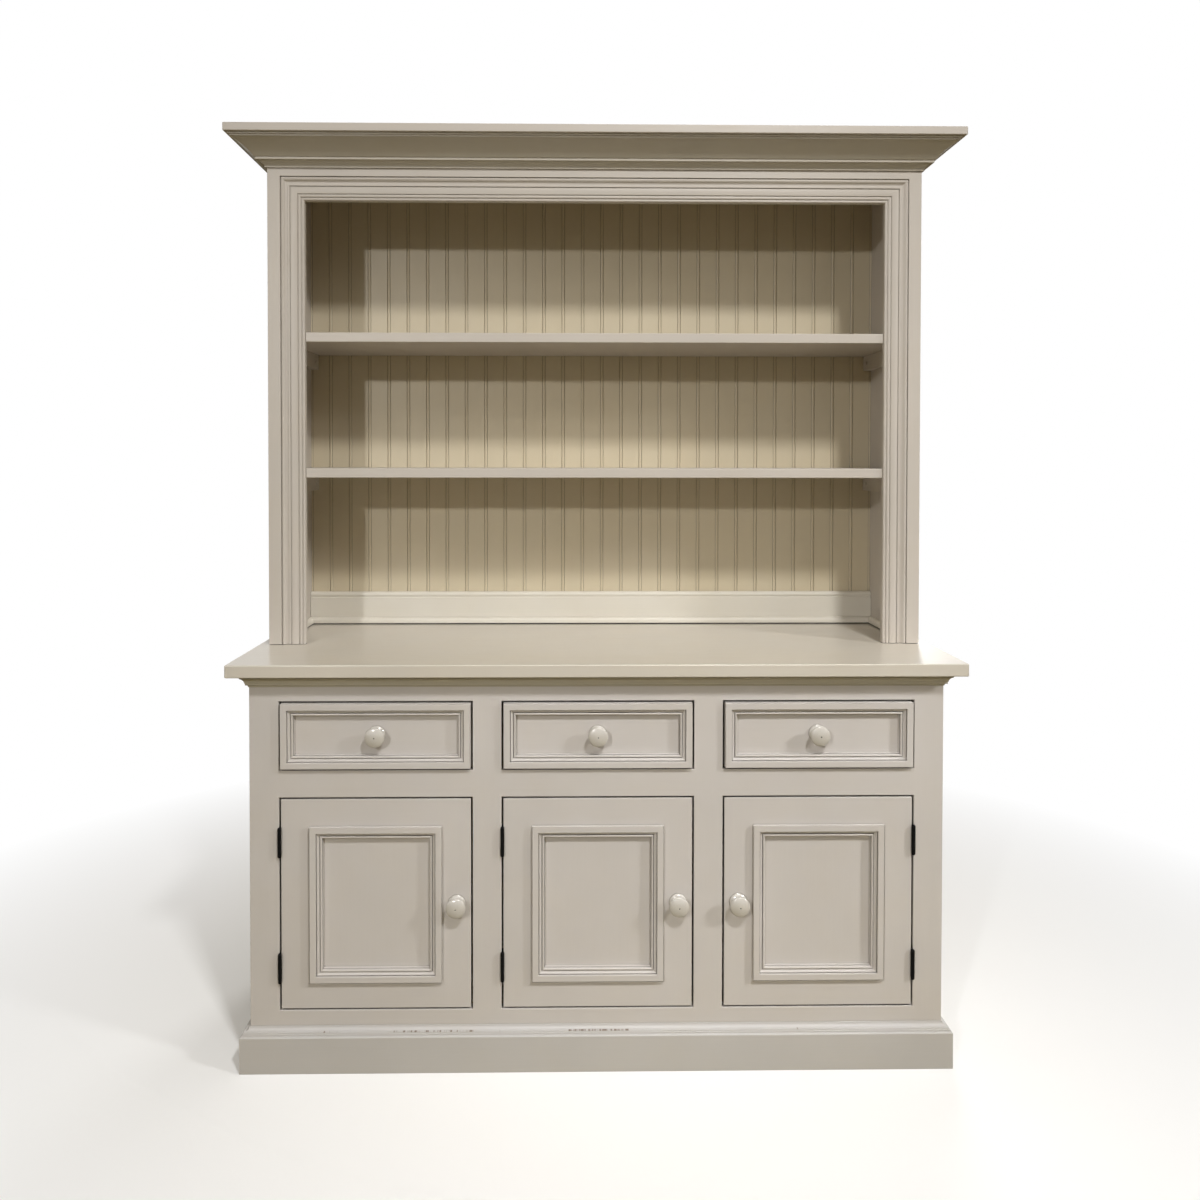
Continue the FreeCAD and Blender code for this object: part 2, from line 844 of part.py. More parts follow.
def moulding_ring(left, right, foot, top, lap):
    """Four mitred lengths round a rectangle, with a rabbet where they lap a frame."""
    steps = scaled(MOULDING_SHARES, MOULDING_WIDTH, MOULDING_DEPTH)
    if lap > 0:
        steps += [(lap, 0.0), (lap, PANEL_RECESS), (0.0, PANEL_RECESS)]
    else:
        steps += [(0.0, 0.0)]
    corners = [
        vec(left, PANEL_Y, top),
        vec(right, PANEL_Y, top),
        vec(right, PANEL_Y, foot),
        vec(left, PANEL_Y, foot),
    ]
    runs = mitred_runs(corners, FORWARD, steps, closed=True)
    outer = board(left, right, PANEL_Y - MOULDING_DEPTH, PANEL_Y, foot, top)
    through = [e for e in outer.Edges if e.BoundBox.YLength > MOULDING_CORNER]
    outer = outer.makeFillet(MOULDING_CORNER, through)
    return [run.common(outer).Solids[0] for run in runs]


def door_moulding(index):
    left, right, foot, top = door_edges(index)
    return moulding_ring(
        left + MOULDING_SIDE_INSET,
        right - MOULDING_SIDE_INSET,
        foot + MOULDING_END_INSET,
        top - MOULDING_END_INSET,
        MOULDING_LAP,
    )


# Knobs

def knob_hole(x, y, z):
    depth = KNOB_SPIGOT_LENGTH + JOINT_GAP
    start = vec(x, y - OVERRUN, z)
    return Part.makeCylinder(
        KNOB_SPIGOT_RADIUS + JOINT_GAP, depth + OVERRUN, start, FORWARD * -1
    )


def knob(x, y, z):
    """A turned knob with a foot, a waist, a flat-domed head and a spigot into the wood."""
    base = vec(x, y, z)

    def place(radial, out):
        return base + X_AXIS * radial + FORWARD * out

    steps = [
        (0.0, -KNOB_SPIGOT_LENGTH),
        (KNOB_SPIGOT_RADIUS, -KNOB_SPIGOT_LENGTH),
        (KNOB_SPIGOT_RADIUS, 0.0),
    ]
    steps += scaled(KNOB_SHARES, KNOB_RADIUS, KNOB_PROJECTION)
    return section(steps, place).revolve(base, FORWARD, 360).Solids[0]


# Drawers

def drawer_edges(index):
    left, right = bay_edges(index)
    foot = DRAWER_FOOT_Z + REVEAL_GAP
    return left + REVEAL_GAP, right - REVEAL_GAP, foot, DRAWER_TOP_Z - REVEAL_GAP


def drawer_bottom_foot():
    return DRAWER_FOOT_Z + RUNNING_GAP + DRAWER_BOTTOM_LIFT


def drawer_bottom_block(index, slack):
    """The bottom panel, or with slack the groove that takes it."""
    left, right, _, _ = drawer_edges(index)
    front_back_y = PANEL_Y + DRAWER_FRONT_THICK
    inset = DRAWER_SIDE_THICK - DRAWER_GROOVE
    foot = drawer_bottom_foot()
    return board(
        left + inset - slack,
        right - inset + slack,
        front_back_y - DRAWER_GROOVE - slack,
        front_back_y + DRAWER_LENGTH,
        foot - slack,
        foot + DRAWER_BOTTOM_THICK + slack,
    )


def drawer_front(index):
    left, right, foot, top = drawer_edges(index)
    front = board(left, right, PANEL_Y, PANEL_Y + DRAWER_FRONT_THICK, foot, top)
    corners = [e for e in front.Edges if e.BoundBox.YLength > MOULDING_CORNER]
    front = front.makeFillet(MOULDING_CORNER, corners)
    hole = knob_hole((left + right) / 2, PANEL_Y, (foot + top) / 2)
    return [cut_all(front, [hole, drawer_bottom_block(index, JOINT_GAP)]).Solids[0]]


def drawer_knob(index):
    left, right, foot, top = drawer_edges(index)
    return [knob((left + right) / 2, PANEL_Y, (foot + top) / 2)]


def drawer_box(index):
    """Two sides and a back behind the front; the back stands on the bottom panel."""
    left, right, _, _ = drawer_edges(index)
    near = PANEL_Y + DRAWER_FRONT_THICK
    far = near + DRAWER_LENGTH
    foot = DRAWER_FOOT_Z + RUNNING_GAP
    groove = drawer_bottom_block(index, JOINT_GAP)
    members = []
    for x0, x1 in ((left, left + DRAWER_SIDE_THICK), (right - DRAWER_SIDE_THICK, right)):
        side = board(x0, x1, near, far, foot, foot + DRAWER_SIDE_RISE)
        members.append(side.cut(groove).Solids[0])
    back_foot = drawer_bottom_foot() + DRAWER_BOTTOM_THICK
    members.append(
        board(
            left + DRAWER_SIDE_THICK,
            right - DRAWER_SIDE_THICK,
            far - DRAWER_SIDE_THICK,
            far,
            back_foot,
            back_foot + DRAWER_BACK_RISE,
        )
    )
    return members


def drawer_moulding(index):
    left, right, foot, top = drawer_edges(index)
    return moulding_ring(left, right, foot, top, 0.0)


# Counter

def counter_top():
    return [
        rounded_slab(
            BASE_HALF + COUNTER_OVERHANG,
            FACE_Y - COUNTER_OVERHANG,
            BACK_Y,
            BASE_TOP,
            COUNTER_HEIGHT,
            COUNTER_CORNER,
            COUNTER_EDGE,
        ).Solids[0]
    ]


def counter_moulding():
    foot = BASE_TOP - BED_RISE
    corners = [
        vec(-BASE_HALF, BACK_Y, foot),
        vec(-BASE_HALF, FACE_Y, foot),
        vec(BASE_HALF, FACE_Y, foot),
        vec(BASE_HALF, BACK_Y, foot),
    ]
    return mitred_runs(corners, UP, scaled(BED_SHARES, BED_REACH, BED_RISE))


# Hutch

def hutch_sides():
    side = board(
        -HUTCH_HALF, -HUTCH_INSIDE_HALF, HUTCH_FRAME_BACK_Y, BACK_Y, COUNTER_HEIGHT, CAP_FOOT_Z
    )
    rabbet = board(
        -HUTCH_INSIDE_HALF - BACK_RABBET,
        -HUTCH_INSIDE_HALF + OVERRUN,
        BEADBOARD_Y,
        BACK_Y + OVERRUN,
        COUNTER_HEIGHT - OVERRUN,
        CAP_FOOT_Z + OVERRUN,
    )
    side = cut_all(side, [rabbet] + [screw_hole(*place) for place in screw_places()])
    return [side.Solids[0], mirrored(side.Solids[0])]


def hutch_top():
    inner = HUTCH_INSIDE_HALF
    foot = CAP_FOOT_Z - CARCASS_BOARD
    return [board(-inner, inner, HUTCH_FRAME_BACK_Y, BEADBOARD_Y, foot, CAP_FOOT_Z)]


def bead_centres():
    count = math.floor(2 * HUTCH_INSIDE_HALF / BEAD_SPACING)
    return [(i - count / 2) * BEAD_SPACING for i in range(count + 1)]


def hutch_back():
    """Boards with a bead between two quirks at every joint, in one panel."""
    half = HUTCH_INSIDE_HALF + BACK_RABBET - JOINT_GAP
    steps = [(-half, HUTCH_BACK_THICK), (-half, 0.0)]
    for centre in bead_centres():
        near = centre - BEAD_WIDTH / 2
        far = centre + BEAD_WIDTH / 2
        steps += [
            (near - QUIRK_WIDTH, 0.0),
            (near - QUIRK_WIDTH / 2, QUIRK_DEPTH),
            (near, QUIRK_DEPTH / 2),
            (centre, 0.0, far, QUIRK_DEPTH / 2),
            (far + QUIRK_WIDTH / 2, QUIRK_DEPTH),
            (far + QUIRK_WIDTH, 0.0),
        ]
    steps += [(half, 0.0), (half, HUTCH_BACK_THICK)]
    foot = vec(0, BEADBOARD_Y, COUNTER_HEIGHT)
    face = section(steps, lambda a, b: foot + X_AXIS * a - FORWARD * b)
    return [face.extrude(UP * (CAP_FOOT_Z - COUNTER_HEIGHT))]


def hutch_skirting():
    inner = HUTCH_INSIDE_HALF - RUNNING_GAP
    foot = COUNTER_HEIGHT + FOOT_GAP
    corners = [vec(-inner, BEADBOARD_Y, foot), vec(inner, BEADBOARD_Y, foot)]
    return mitred_runs(corners, UP, scaled(SKIRTING_SHARES, SKIRTING_THICK, SKIRTING_RISE))


def hutch_shoe():
    """A small moulding along both sides and the skirting, mitred in the corners."""
    inner = HUTCH_INSIDE_HALF
    skirting_y = BEADBOARD_Y - SKIRTING_THICK
    foot = COUNTER_HEIGHT + FOOT_GAP
    corners = [
        vec(-inner, HUTCH_FRAME_BACK_Y, foot),
        vec(-inner, skirting_y, foot),
        vec(inner, skirting_y, foot),
        vec(inner, HUTCH_FRAME_BACK_Y, foot),
    ]
    return mitred_runs(corners, UP, scaled(SHOE_SHARES, SHOE_THICK, SHOE_RISE))


def hutch_shelves():
    """Shelves notched round the stiles, so that a tongue shows between them."""
    wide = HUTCH_INSIDE_HALF - RUNNING_GAP
    narrow = HUTCH_OPENING_HALF - RUNNING_GAP
    front = HUTCH_FACE_Y + SHELF_SETBACK
    notch = HUTCH_FRAME_BACK_Y + RUNNING_GAP
    rear = BEADBOARD_Y - RUNNING_GAP
    outline = [
        (-narrow, front),
        (narrow, front),
        (narrow, notch),
        (wide, notch),
        (wide, rear),
        (-wide, rear),
        (-wide, notch),
        (-narrow, notch),
    ]
    shelves = []
    for foot in SHELF_FOOT_ZS:
        face = section(outline, lambda x, y: vec(x, y, foot))
        shelves.append(eased_front(face.extrude(UP * SHELF_THICK), front))
    return shelves


def screw_places():
    """Front and rear screws of the left cleats, as Y and Z of their axes."""
    places = []
    for foot in SHELF_FOOT_ZS:
        for y in (HUTCH_FRAME_BACK_Y + SCREW_FROM_END, BEADBOARD_Y - SCREW_FROM_END):
            places.append((y, foot - CLEAT_RISE / 2))
    return places


def turned_screw(y, z, steps):
    """Revolve an outline of radii and depths about a screw's axis, from the cleat's face."""
    mouth = vec(-HUTCH_INSIDE_HALF + CLEAT_THICK, y, z)
    inward = X_AXIS * -1

    def place(radial, depth):
        return mouth + UP * radial + inward * depth

    return section(steps, place).revolve(mouth, inward, 360).Solids[0]


def screw_steps(slack):
    """The countersunk head, shank and point of a cleat screw."""
    tip = CLEAT_THICK + SCREW_BITE
    return [
        (SCREW_HEAD_RADIUS + slack, SCREW_SUNK),
        (SCREW_SHANK_RADIUS + slack, SCREW_SUNK + SCREW_HEAD_RISE),
        (SCREW_SHANK_RADIUS + slack, tip - SCREW_SHANK_RADIUS),
        (0.0, tip + slack),
    ]


def screw_hole(y, z):
    mouth_radius = SCREW_HEAD_RADIUS + JOINT_GAP
    return turned_screw(y, z, [(0.0, -OVERRUN), (mouth_radius, -OVERRUN)] + screw_steps(JOINT_GAP))


def shelf_screw(y, z):
    """A screw with a slotted head, sunk below the cleat's face."""
    body = turned_screw(y, z, [(0.0, SCREW_SUNK)] + screw_steps(0.0))
    head_x = -HUTCH_INSIDE_HALF + CLEAT_THICK - SCREW_SUNK
    half = SCREW_SLOT_WIDTH / 2
    reach = SCREW_HEAD_RADIUS + OVERRUN
    slot = board(
        head_x - SCREW_SLOT_DEPTH, head_x + OVERRUN, y - reach, y + reach, z - half, z + half
    )
    return body.cut(slot).Solids[0]


def cleat_screws():
    left = [shelf_screw(*place) for place in screw_places()]
    return left + [mirrored(screw) for screw in left]


def hutch_cleats():
    holes = [screw_hole(*place) for place in screw_places()]
    cleats = []
    for foot in SHELF_FOOT_ZS:
        cleat = board(
            -HUTCH_INSIDE_HALF,
            -HUTCH_INSIDE_HALF + CLEAT_THICK,
            HUTCH_FRAME_BACK_Y,
            BEADBOARD_Y,
            foot - CLEAT_RISE,
            foot,
        )
        cleat = cut_all(cleat, holes).Solids[0]
        cleats += [cleat, mirrored(cleat)]
    return cleats


def hutch_face_frame():
    """Two stiles and a head rail, rabbeted for the architrave round the opening."""
    inner = HUTCH_OPENING_HALF
    outer = HUTCH_OPENING_HALF + ARCHITRAVE_WIDTH
    rabbet = board(
        -outer,
        outer,
        HUTCH_FACE_Y - OVERRUN,
        HUTCH_FACE_Y + ARCHITRAVE_RABBET,
        COUNTER_HEIGHT - OVERRUN,
        ARCHITRAVE_TOP_Z,
    )
    span = (-inner, inner, HUTCH_OPENING_TOP_Z, CAP_FOOT_Z)
    tongue_face = HUTCH_FACE_Y + ARCHITRAVE_RABBET
    tongue_thick = FRAME_THICK - ARCHITRAVE_RABBET
    mortise = rail_tongue(*span, tongue_face, tongue_thick, JOINT_GAP)
    stile = board(
        -HUTCH_HALF, -inner, HUTCH_FACE_Y, HUTCH_FRAME_BACK_Y, COUNTER_HEIGHT, CAP_FOOT_Z
    )
    stile = cut_all(stile, [rabbet, mortise]).Solids[0]
    x0, x1, z0, z1 = span
    head = board(x0, x1, HUTCH_FACE_Y, HUTCH_FRAME_BACK_Y, z0, z1).cut(rabbet)
    head = joined(head, rail_tongue(*span, tongue_face, tongue_thick))
    return [stile, mirrored(stile), head.Solids[0]]


def architrave():
    """Fluted moulding up both stiles and across the head, mitred at the top corners."""
    outer = HUTCH_OPENING_HALF + ARCHITRAVE_WIDTH
    seat_y = HUTCH_FACE_Y + ARCHITRAVE_RABBET
    steps = scaled(ARCHITRAVE_SHARES, ARCHITRAVE_WIDTH, ARCHITRAVE_RABBET) + [(0.0, 0.0)]
    corners = [
        vec(-outer, seat_y, COUNTER_HEIGHT),
        vec(-outer, seat_y, ARCHITRAVE_TOP_Z),
        vec(outer, seat_y, ARCHITRAVE_TOP_Z),
        vec(outer, seat_y, COUNTER_HEIGHT),
    ]
    return mitred_runs(corners, FORWARD, steps)


def cornice():
    corners = [
        vec(-HUTCH_HALF, BACK_Y, CROWN_FOOT_Z),
        vec(-HUTCH_HALF, HUTCH_FACE_Y, CROWN_FOOT_Z),
        vec(HUTCH_HALF, HUTCH_FACE_Y, CROWN_FOOT_Z),
        vec(HUTCH_HALF, BACK_Y, CROWN_FOOT_Z),
    ]
    return mitred_runs(corners, UP, scaled(CROWN_SHARES, CROWN_REACH, CROWN_RISE))


def cornice_cap():
    return [
        rounded_slab(
            HUTCH_HALF + CAP_REACH,
            HUTCH_FACE_Y - CAP_REACH,
            BACK_Y,
            CAP_FOOT_Z,
            OVERALL_HEIGHT,
            CAP_CORNER,
            EASED_EDGE,
        ).Solids[0]
    ]


def main():
    os.makedirs("parts", exist_ok=True)
    save("plinth", plinth())
    save("frame_stiles", frame_stiles())
    save("frame_muntins", frame_muntins())
    save("frame_rails", frame_rails())
    save("base_sides", base_sides())
    save("base_bottom", base_bottom())
    save("base_back", base_back())
    save("base_partitions", base_partitions())
    save("base_stretchers", base_stretchers())
    save("base_shelves", base_shelves())
    save("base_cleats", base_cleats())
    save("drawer_decks", drawer_decks())
    save("drawer_guides", drawer_guides())
    save("door_stops", door_stops())
    save("hinge_frame_leaves", frame_leaves())
    save("hinge_pins", hinge_pins())
    save("counter_top", counter_top())
    save("counter_moulding", counter_moulding())
    save("hutch_sides", hutch_sides())
    save("hutch_top", hutch_top())
    save("hutch_back", hutch_back())
    save("hutch_skirting", hutch_skirting())
    save("hutch_shoe", hutch_shoe())
    save("hutch_shelves", hutch_shelves())
    save("hutch_cleats", hutch_cleats())
    save("cleat_screws", cleat_screws())
    save("hutch_face_frame", hutch_face_frame())
    save("architrave", architrave())
    save("cornice", cornice())
    save("cornice_cap", cornice_cap())
    for index, name in enumerate(BAY_NAMES):
        door = "door_" + name
        save(door + "_frame", door_frame(index))
        save(door + "_panel", door_panel(index))
        save(door + "_moulding", door_moulding(index))
        save(door + "_knob", [knob(*knob_place(index))])
        save(door + "_hinge_leaves", door_leaves(index))
        drawer = "drawer_" + name
        save(drawer + "_front", drawer_front(index))
        save(drawer + "_moulding", drawer_moulding(index))
        save(drawer + "_box", drawer_box(index))
        save(drawer + "_bottom", [drawer_bottom_block(index, 0.0)])
        save(drawer + "_knob", drawer_knob(index))


main()
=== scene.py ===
"""Dressed model of a painted step-back cupboard, in metres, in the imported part's frame.

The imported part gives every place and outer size. This script eases its boards, models its face
frames, door frames, mouldings and knobs anew, adds the screws of the hinges and gives each piece
its finish. The front faces -Y.
"""

import cmath
import logging
import math
from collections.abc import Callable, Iterator
from contextlib import contextmanager
from dataclasses import dataclass, field
from enum import Enum

import bmesh
import bpy
from bpy.types import Material, Mesh, Node, NodeSocket, Object
from mathutils import Matrix, Vector


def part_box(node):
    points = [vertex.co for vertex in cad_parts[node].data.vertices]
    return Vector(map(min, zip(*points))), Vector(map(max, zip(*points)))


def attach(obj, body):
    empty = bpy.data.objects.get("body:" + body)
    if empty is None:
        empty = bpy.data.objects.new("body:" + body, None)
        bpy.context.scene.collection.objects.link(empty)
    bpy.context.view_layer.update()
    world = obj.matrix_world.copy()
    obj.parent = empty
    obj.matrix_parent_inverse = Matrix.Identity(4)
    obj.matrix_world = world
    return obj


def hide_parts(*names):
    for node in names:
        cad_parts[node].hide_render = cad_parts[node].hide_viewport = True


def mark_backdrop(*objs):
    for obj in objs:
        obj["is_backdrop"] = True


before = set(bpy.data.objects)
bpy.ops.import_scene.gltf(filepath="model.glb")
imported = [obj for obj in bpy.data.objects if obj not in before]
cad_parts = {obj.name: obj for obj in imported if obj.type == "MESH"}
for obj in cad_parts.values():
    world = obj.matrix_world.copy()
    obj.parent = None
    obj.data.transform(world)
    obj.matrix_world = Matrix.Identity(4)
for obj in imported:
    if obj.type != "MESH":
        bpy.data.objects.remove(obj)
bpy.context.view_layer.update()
log = logging.getLogger("cupboard")

Colour = tuple[float, float, float]
Point = tuple[float, float, float]
Pair = tuple[float, float]
Profile = tuple[tuple[float, ...], ...]

MM = 0.001
QUARTER_TURN = math.pi / 2
FULL_TURN = 2 * math.pi
# How much smaller each side of a door or of a drawer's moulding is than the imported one
PLAY = 1.0 * MM
# Points of a new shape that are nearer than this are one
WELD = 0.01 * MM
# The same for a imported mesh, and the degrees below which two of its faces are one
PACKED_WELD = 0.002 * MM
PACKED_FLAT = 0.4
# How far the slot of each screw is turned, taken in order
SLOT_TURNS = (0.3, 1.2, 2.1, 0.8, 2.7, 1.6, 0.1, 2.4)


class Axis(Enum):
    """The direction in which a board's length or a brush stroke runs."""

    X = 0
    Y = 1
    Z = 2


class Bay(Enum):
    """The three bays of the base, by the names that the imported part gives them."""

    LEFT = "left"
    MIDDLE = "middle"
    RIGHT = "right"


class Side(Enum):
    """Which edge of its opening a door hangs on."""

    LEFT = -1
    RIGHT = 1


@dataclass(frozen=True)
class Rect:
    """An upright rectangle, seen from the front."""

    left: float
    right: float
    foot: float
    top: float

    @classmethod
    def of_node(cls, node: str) -> "Rect":
        """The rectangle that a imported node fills, seen from the front."""
        low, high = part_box(node)
        return cls(low.x, high.x, low.z, high.z)

    def grown(self, by: float) -> "Rect":
        """The same rectangle with every side moved outwards."""
        return Rect(self.left - by, self.right + by, self.foot - by, self.top + by)

    def holds(self, x: float, z: float) -> bool:
        """Whether a point lies inside."""
        return self.left < x < self.right and self.foot < z < self.top


# Modelling by hand

def pick(piece: Object) -> None:
    """Make one piece the only selected and the active one."""
    bpy.ops.object.select_all(action="DESELECT")
    piece.select_set(True)
    bpy.context.view_layer.objects.active = piece


@contextmanager
def editing(piece: Object) -> Iterator[None]:
    """Open a piece in edit mode with everything selected, and close it afterwards.

    Args:
        piece: The mesh to work on.
    """
    pick(piece)
    bpy.ops.object.mode_set(mode="EDIT")
    bpy.ops.mesh.select_mode(type="VERT")
    bpy.ops.mesh.select_all(action="SELECT")
    yield
    bpy.ops.object.mode_set(mode="OBJECT")


def choose_faces(piece: Object, wanted: Callable[[Vector, Vector], bool]) -> None:
    """Select faces of a piece that is open in edit mode.

    Args:
        piece: The piece in edit mode.
        wanted: Tells from a face's middle and normal whether it is selected.
    """
    bpy.ops.mesh.select_mode(type="FACE")
    bpy.ops.mesh.select_all(action="DESELECT")
    cage = bmesh.from_edit_mesh(piece.data)
    for face in cage.faces:
        if wanted(face.calc_center_median(), face.normal):
            face.select_set(True)
    bmesh.update_edit_mesh(piece.data)


def worked(piece: Object, kind: str, **settings: object) -> None:
    """Give a piece one modifier and apply it.

    Args:
        piece: The piece to change.
        kind: The modifier's type.
        settings: Values for its properties.
    """
    pick(piece)
    modifier = piece.modifiers.new(kind.title(), kind)
    for key, value in settings.items():
        setattr(modifier, key, value)
    bpy.ops.object.modifier_apply(modifier=modifier.name)


def ease(piece: Object, arris: float, sharp: float = 40.0, segments: int = 2) -> None:
    """Round the sharp edges of a piece and shade it as solid wood.

    Args:
        piece: The piece to ease.
        arris: How far the rounding reaches from the edge; nought leaves the edges.
        sharp: Edges that turn by more than this many degrees are rounded.
        segments: How many flats make up one rounding.
    """
    if arris > 0:
        worked(
            piece,
            "BEVEL",
            width=arris,
            segments=segments,
            limit_method="ANGLE",
            angle_limit=math.radians(sharp),
            use_clamp_overlap=False,
        )
    pick(piece)
    bpy.ops.object.shade_smooth_by_angle(angle=math.radians(sharp))
    worked(piece, "WEIGHTED_NORMAL", keep_sharp=True)


def settle(piece: Object, name: str) -> Object:
    """Name a new piece and put its place into its mesh."""
    piece.name = name
    piece.data.name = name
    pick(piece)
    bpy.ops.object.transform_apply(location=True, rotation=True, scale=True)
    return piece


def flat_sheet(name: str, size: Pair, at: Point | Vector, upright: bool = False) -> Object:
    """Start a shape from a plain rectangle.

    Args:
        name: The shape's name.
        size: The rectangle's width and length.
        at: Its middle.
        upright: Whether it faces the front instead of lying level.

    Returns:
        The rectangle.
    """
    bpy.ops.object.select_all(action="DESELECT")
    bpy.ops.mesh.primitive_plane_add(
        size=1.0, location=at, rotation=(QUARTER_TURN if upright else 0.0, 0.0, 0.0)
    )
    bpy.context.object.scale = (*size, 1.0)
    return settle(bpy.context.object, name)


def outward(piece: Object) -> None:
    """Merge a new shape's doubles and turn its faces outwards."""
    with editing(piece):
        bpy.ops.mesh.remove_doubles(threshold=WELD)
        bpy.ops.mesh.normals_make_consistent(inside=False)


def cad_copy(node: str, name: str) -> Object:
    """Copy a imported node's mesh with its triangles merged into whole faces.

    Args:
        node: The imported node.
        name: The new piece's name.

    Returns:
        The copy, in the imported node's place.
    """
    piece = bpy.data.objects.new(name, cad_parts[node].data.copy())
    bpy.context.scene.collection.objects.link(piece)
    pick(piece)
    if piece.data.has_custom_normals:
        bpy.ops.mesh.customdata_custom_splitnormals_clear()
    with editing(piece):
        bpy.ops.mesh.remove_doubles(threshold=PACKED_WELD)
        bpy.ops.mesh.dissolve_limited(angle_limit=math.radians(PACKED_FLAT))
    return piece


def islands(mesh: Mesh) -> list[list[int]]:
    """Group a mesh's faces by the solid that they belong to.

    Args:
        mesh: The mesh to read.

    Returns:
        Lists of face numbers, one list to a solid.
    """
    parent = list(range(len(mesh.vertices)))

    def root(vertex: int) -> int:
        """The vertex that stands for this one's solid."""
        while parent[vertex] != vertex:
            parent[vertex] = parent[parent[vertex]]
            vertex = parent[vertex]
        return vertex

    for polygon in mesh.polygons:
        first = root(polygon.vertices[0])
        for vertex in polygon.vertices[1:]:
            parent[root(vertex)] = first
    groups: dict[int, list[int]] = {}
    for polygon in mesh.polygons:
        groups.setdefault(root(polygon.vertices[0]), []).append(polygon.index)
    return list(groups.values())


def long_axis(mesh: Mesh, faces: list[int]) -> Axis:
    """The axis along which a group of faces reaches furthest."""
    points = [mesh.vertices[v].co for f in faces for v in mesh.polygons[f].vertices]
    spans = [max(p[i] for p in points) - min(p[i] for p in points) for i in range(3)]
    return Axis(spans.index(max(spans)))


def cut_off(piece: Object, at: Vector, away: Vector) -> None:
    """Cut away what lies beyond a plane, and close the cut.

    Args:
        piece: The piece to cut.
        at: A point on the plane.
        away: The direction that is cut away.
    """
    with editing(piece):
        bpy.ops.mesh.bisect(plane_co=at, plane_no=away, use_fill=True, clear_outer=True)
    outward(piece)


def arc(start: Pair, middle: Pair, end: Pair, flats: int = 6) -> list[Pair]:
    """Points along the arc through three points, without its start.

    Args:
        start: Where it starts.
        middle: A point on the way.
        end: Where it ends.
        flats: How many straight pieces stand for it.

    Returns:
        The points in order, the end among them.
    """
    first, second, last = complex(*start), complex(*middle), complex(*end)
    turn = (last - first) / (second - first)
    centre = first - (first - second) * (turn - abs(turn) ** 2) / (2j * turn.imag)
    sweep = cmath.phase((last - centre) / (first - centre))
    if sweep * turn.imag < 0:
        sweep += math.copysign(FULL_TURN, turn.imag)
    points = [
        centre + (first - centre) * cmath.exp(1j * sweep * step / flats)
        for step in range(1, flats + 1)
    ]
    return [(point.real, point.imag) for point in points]


def outline(shares: Profile, across: float, rise: float) -> list[Pair]:
    """Turn a section's shares into metres: pairs are corners, fours are arcs."""
    points: list[Pair] = []
    for share in shares:
        sized = [part * (rise if i % 2 else across) for i, part in enumerate(share)]
        if len(sized) == 4:
            points += arc(points[-1], (sized[0], sized[1]), (sized[2], sized[3]))
        else:
            points.append((sized[0], sized[1]))
    return points


# Finishes

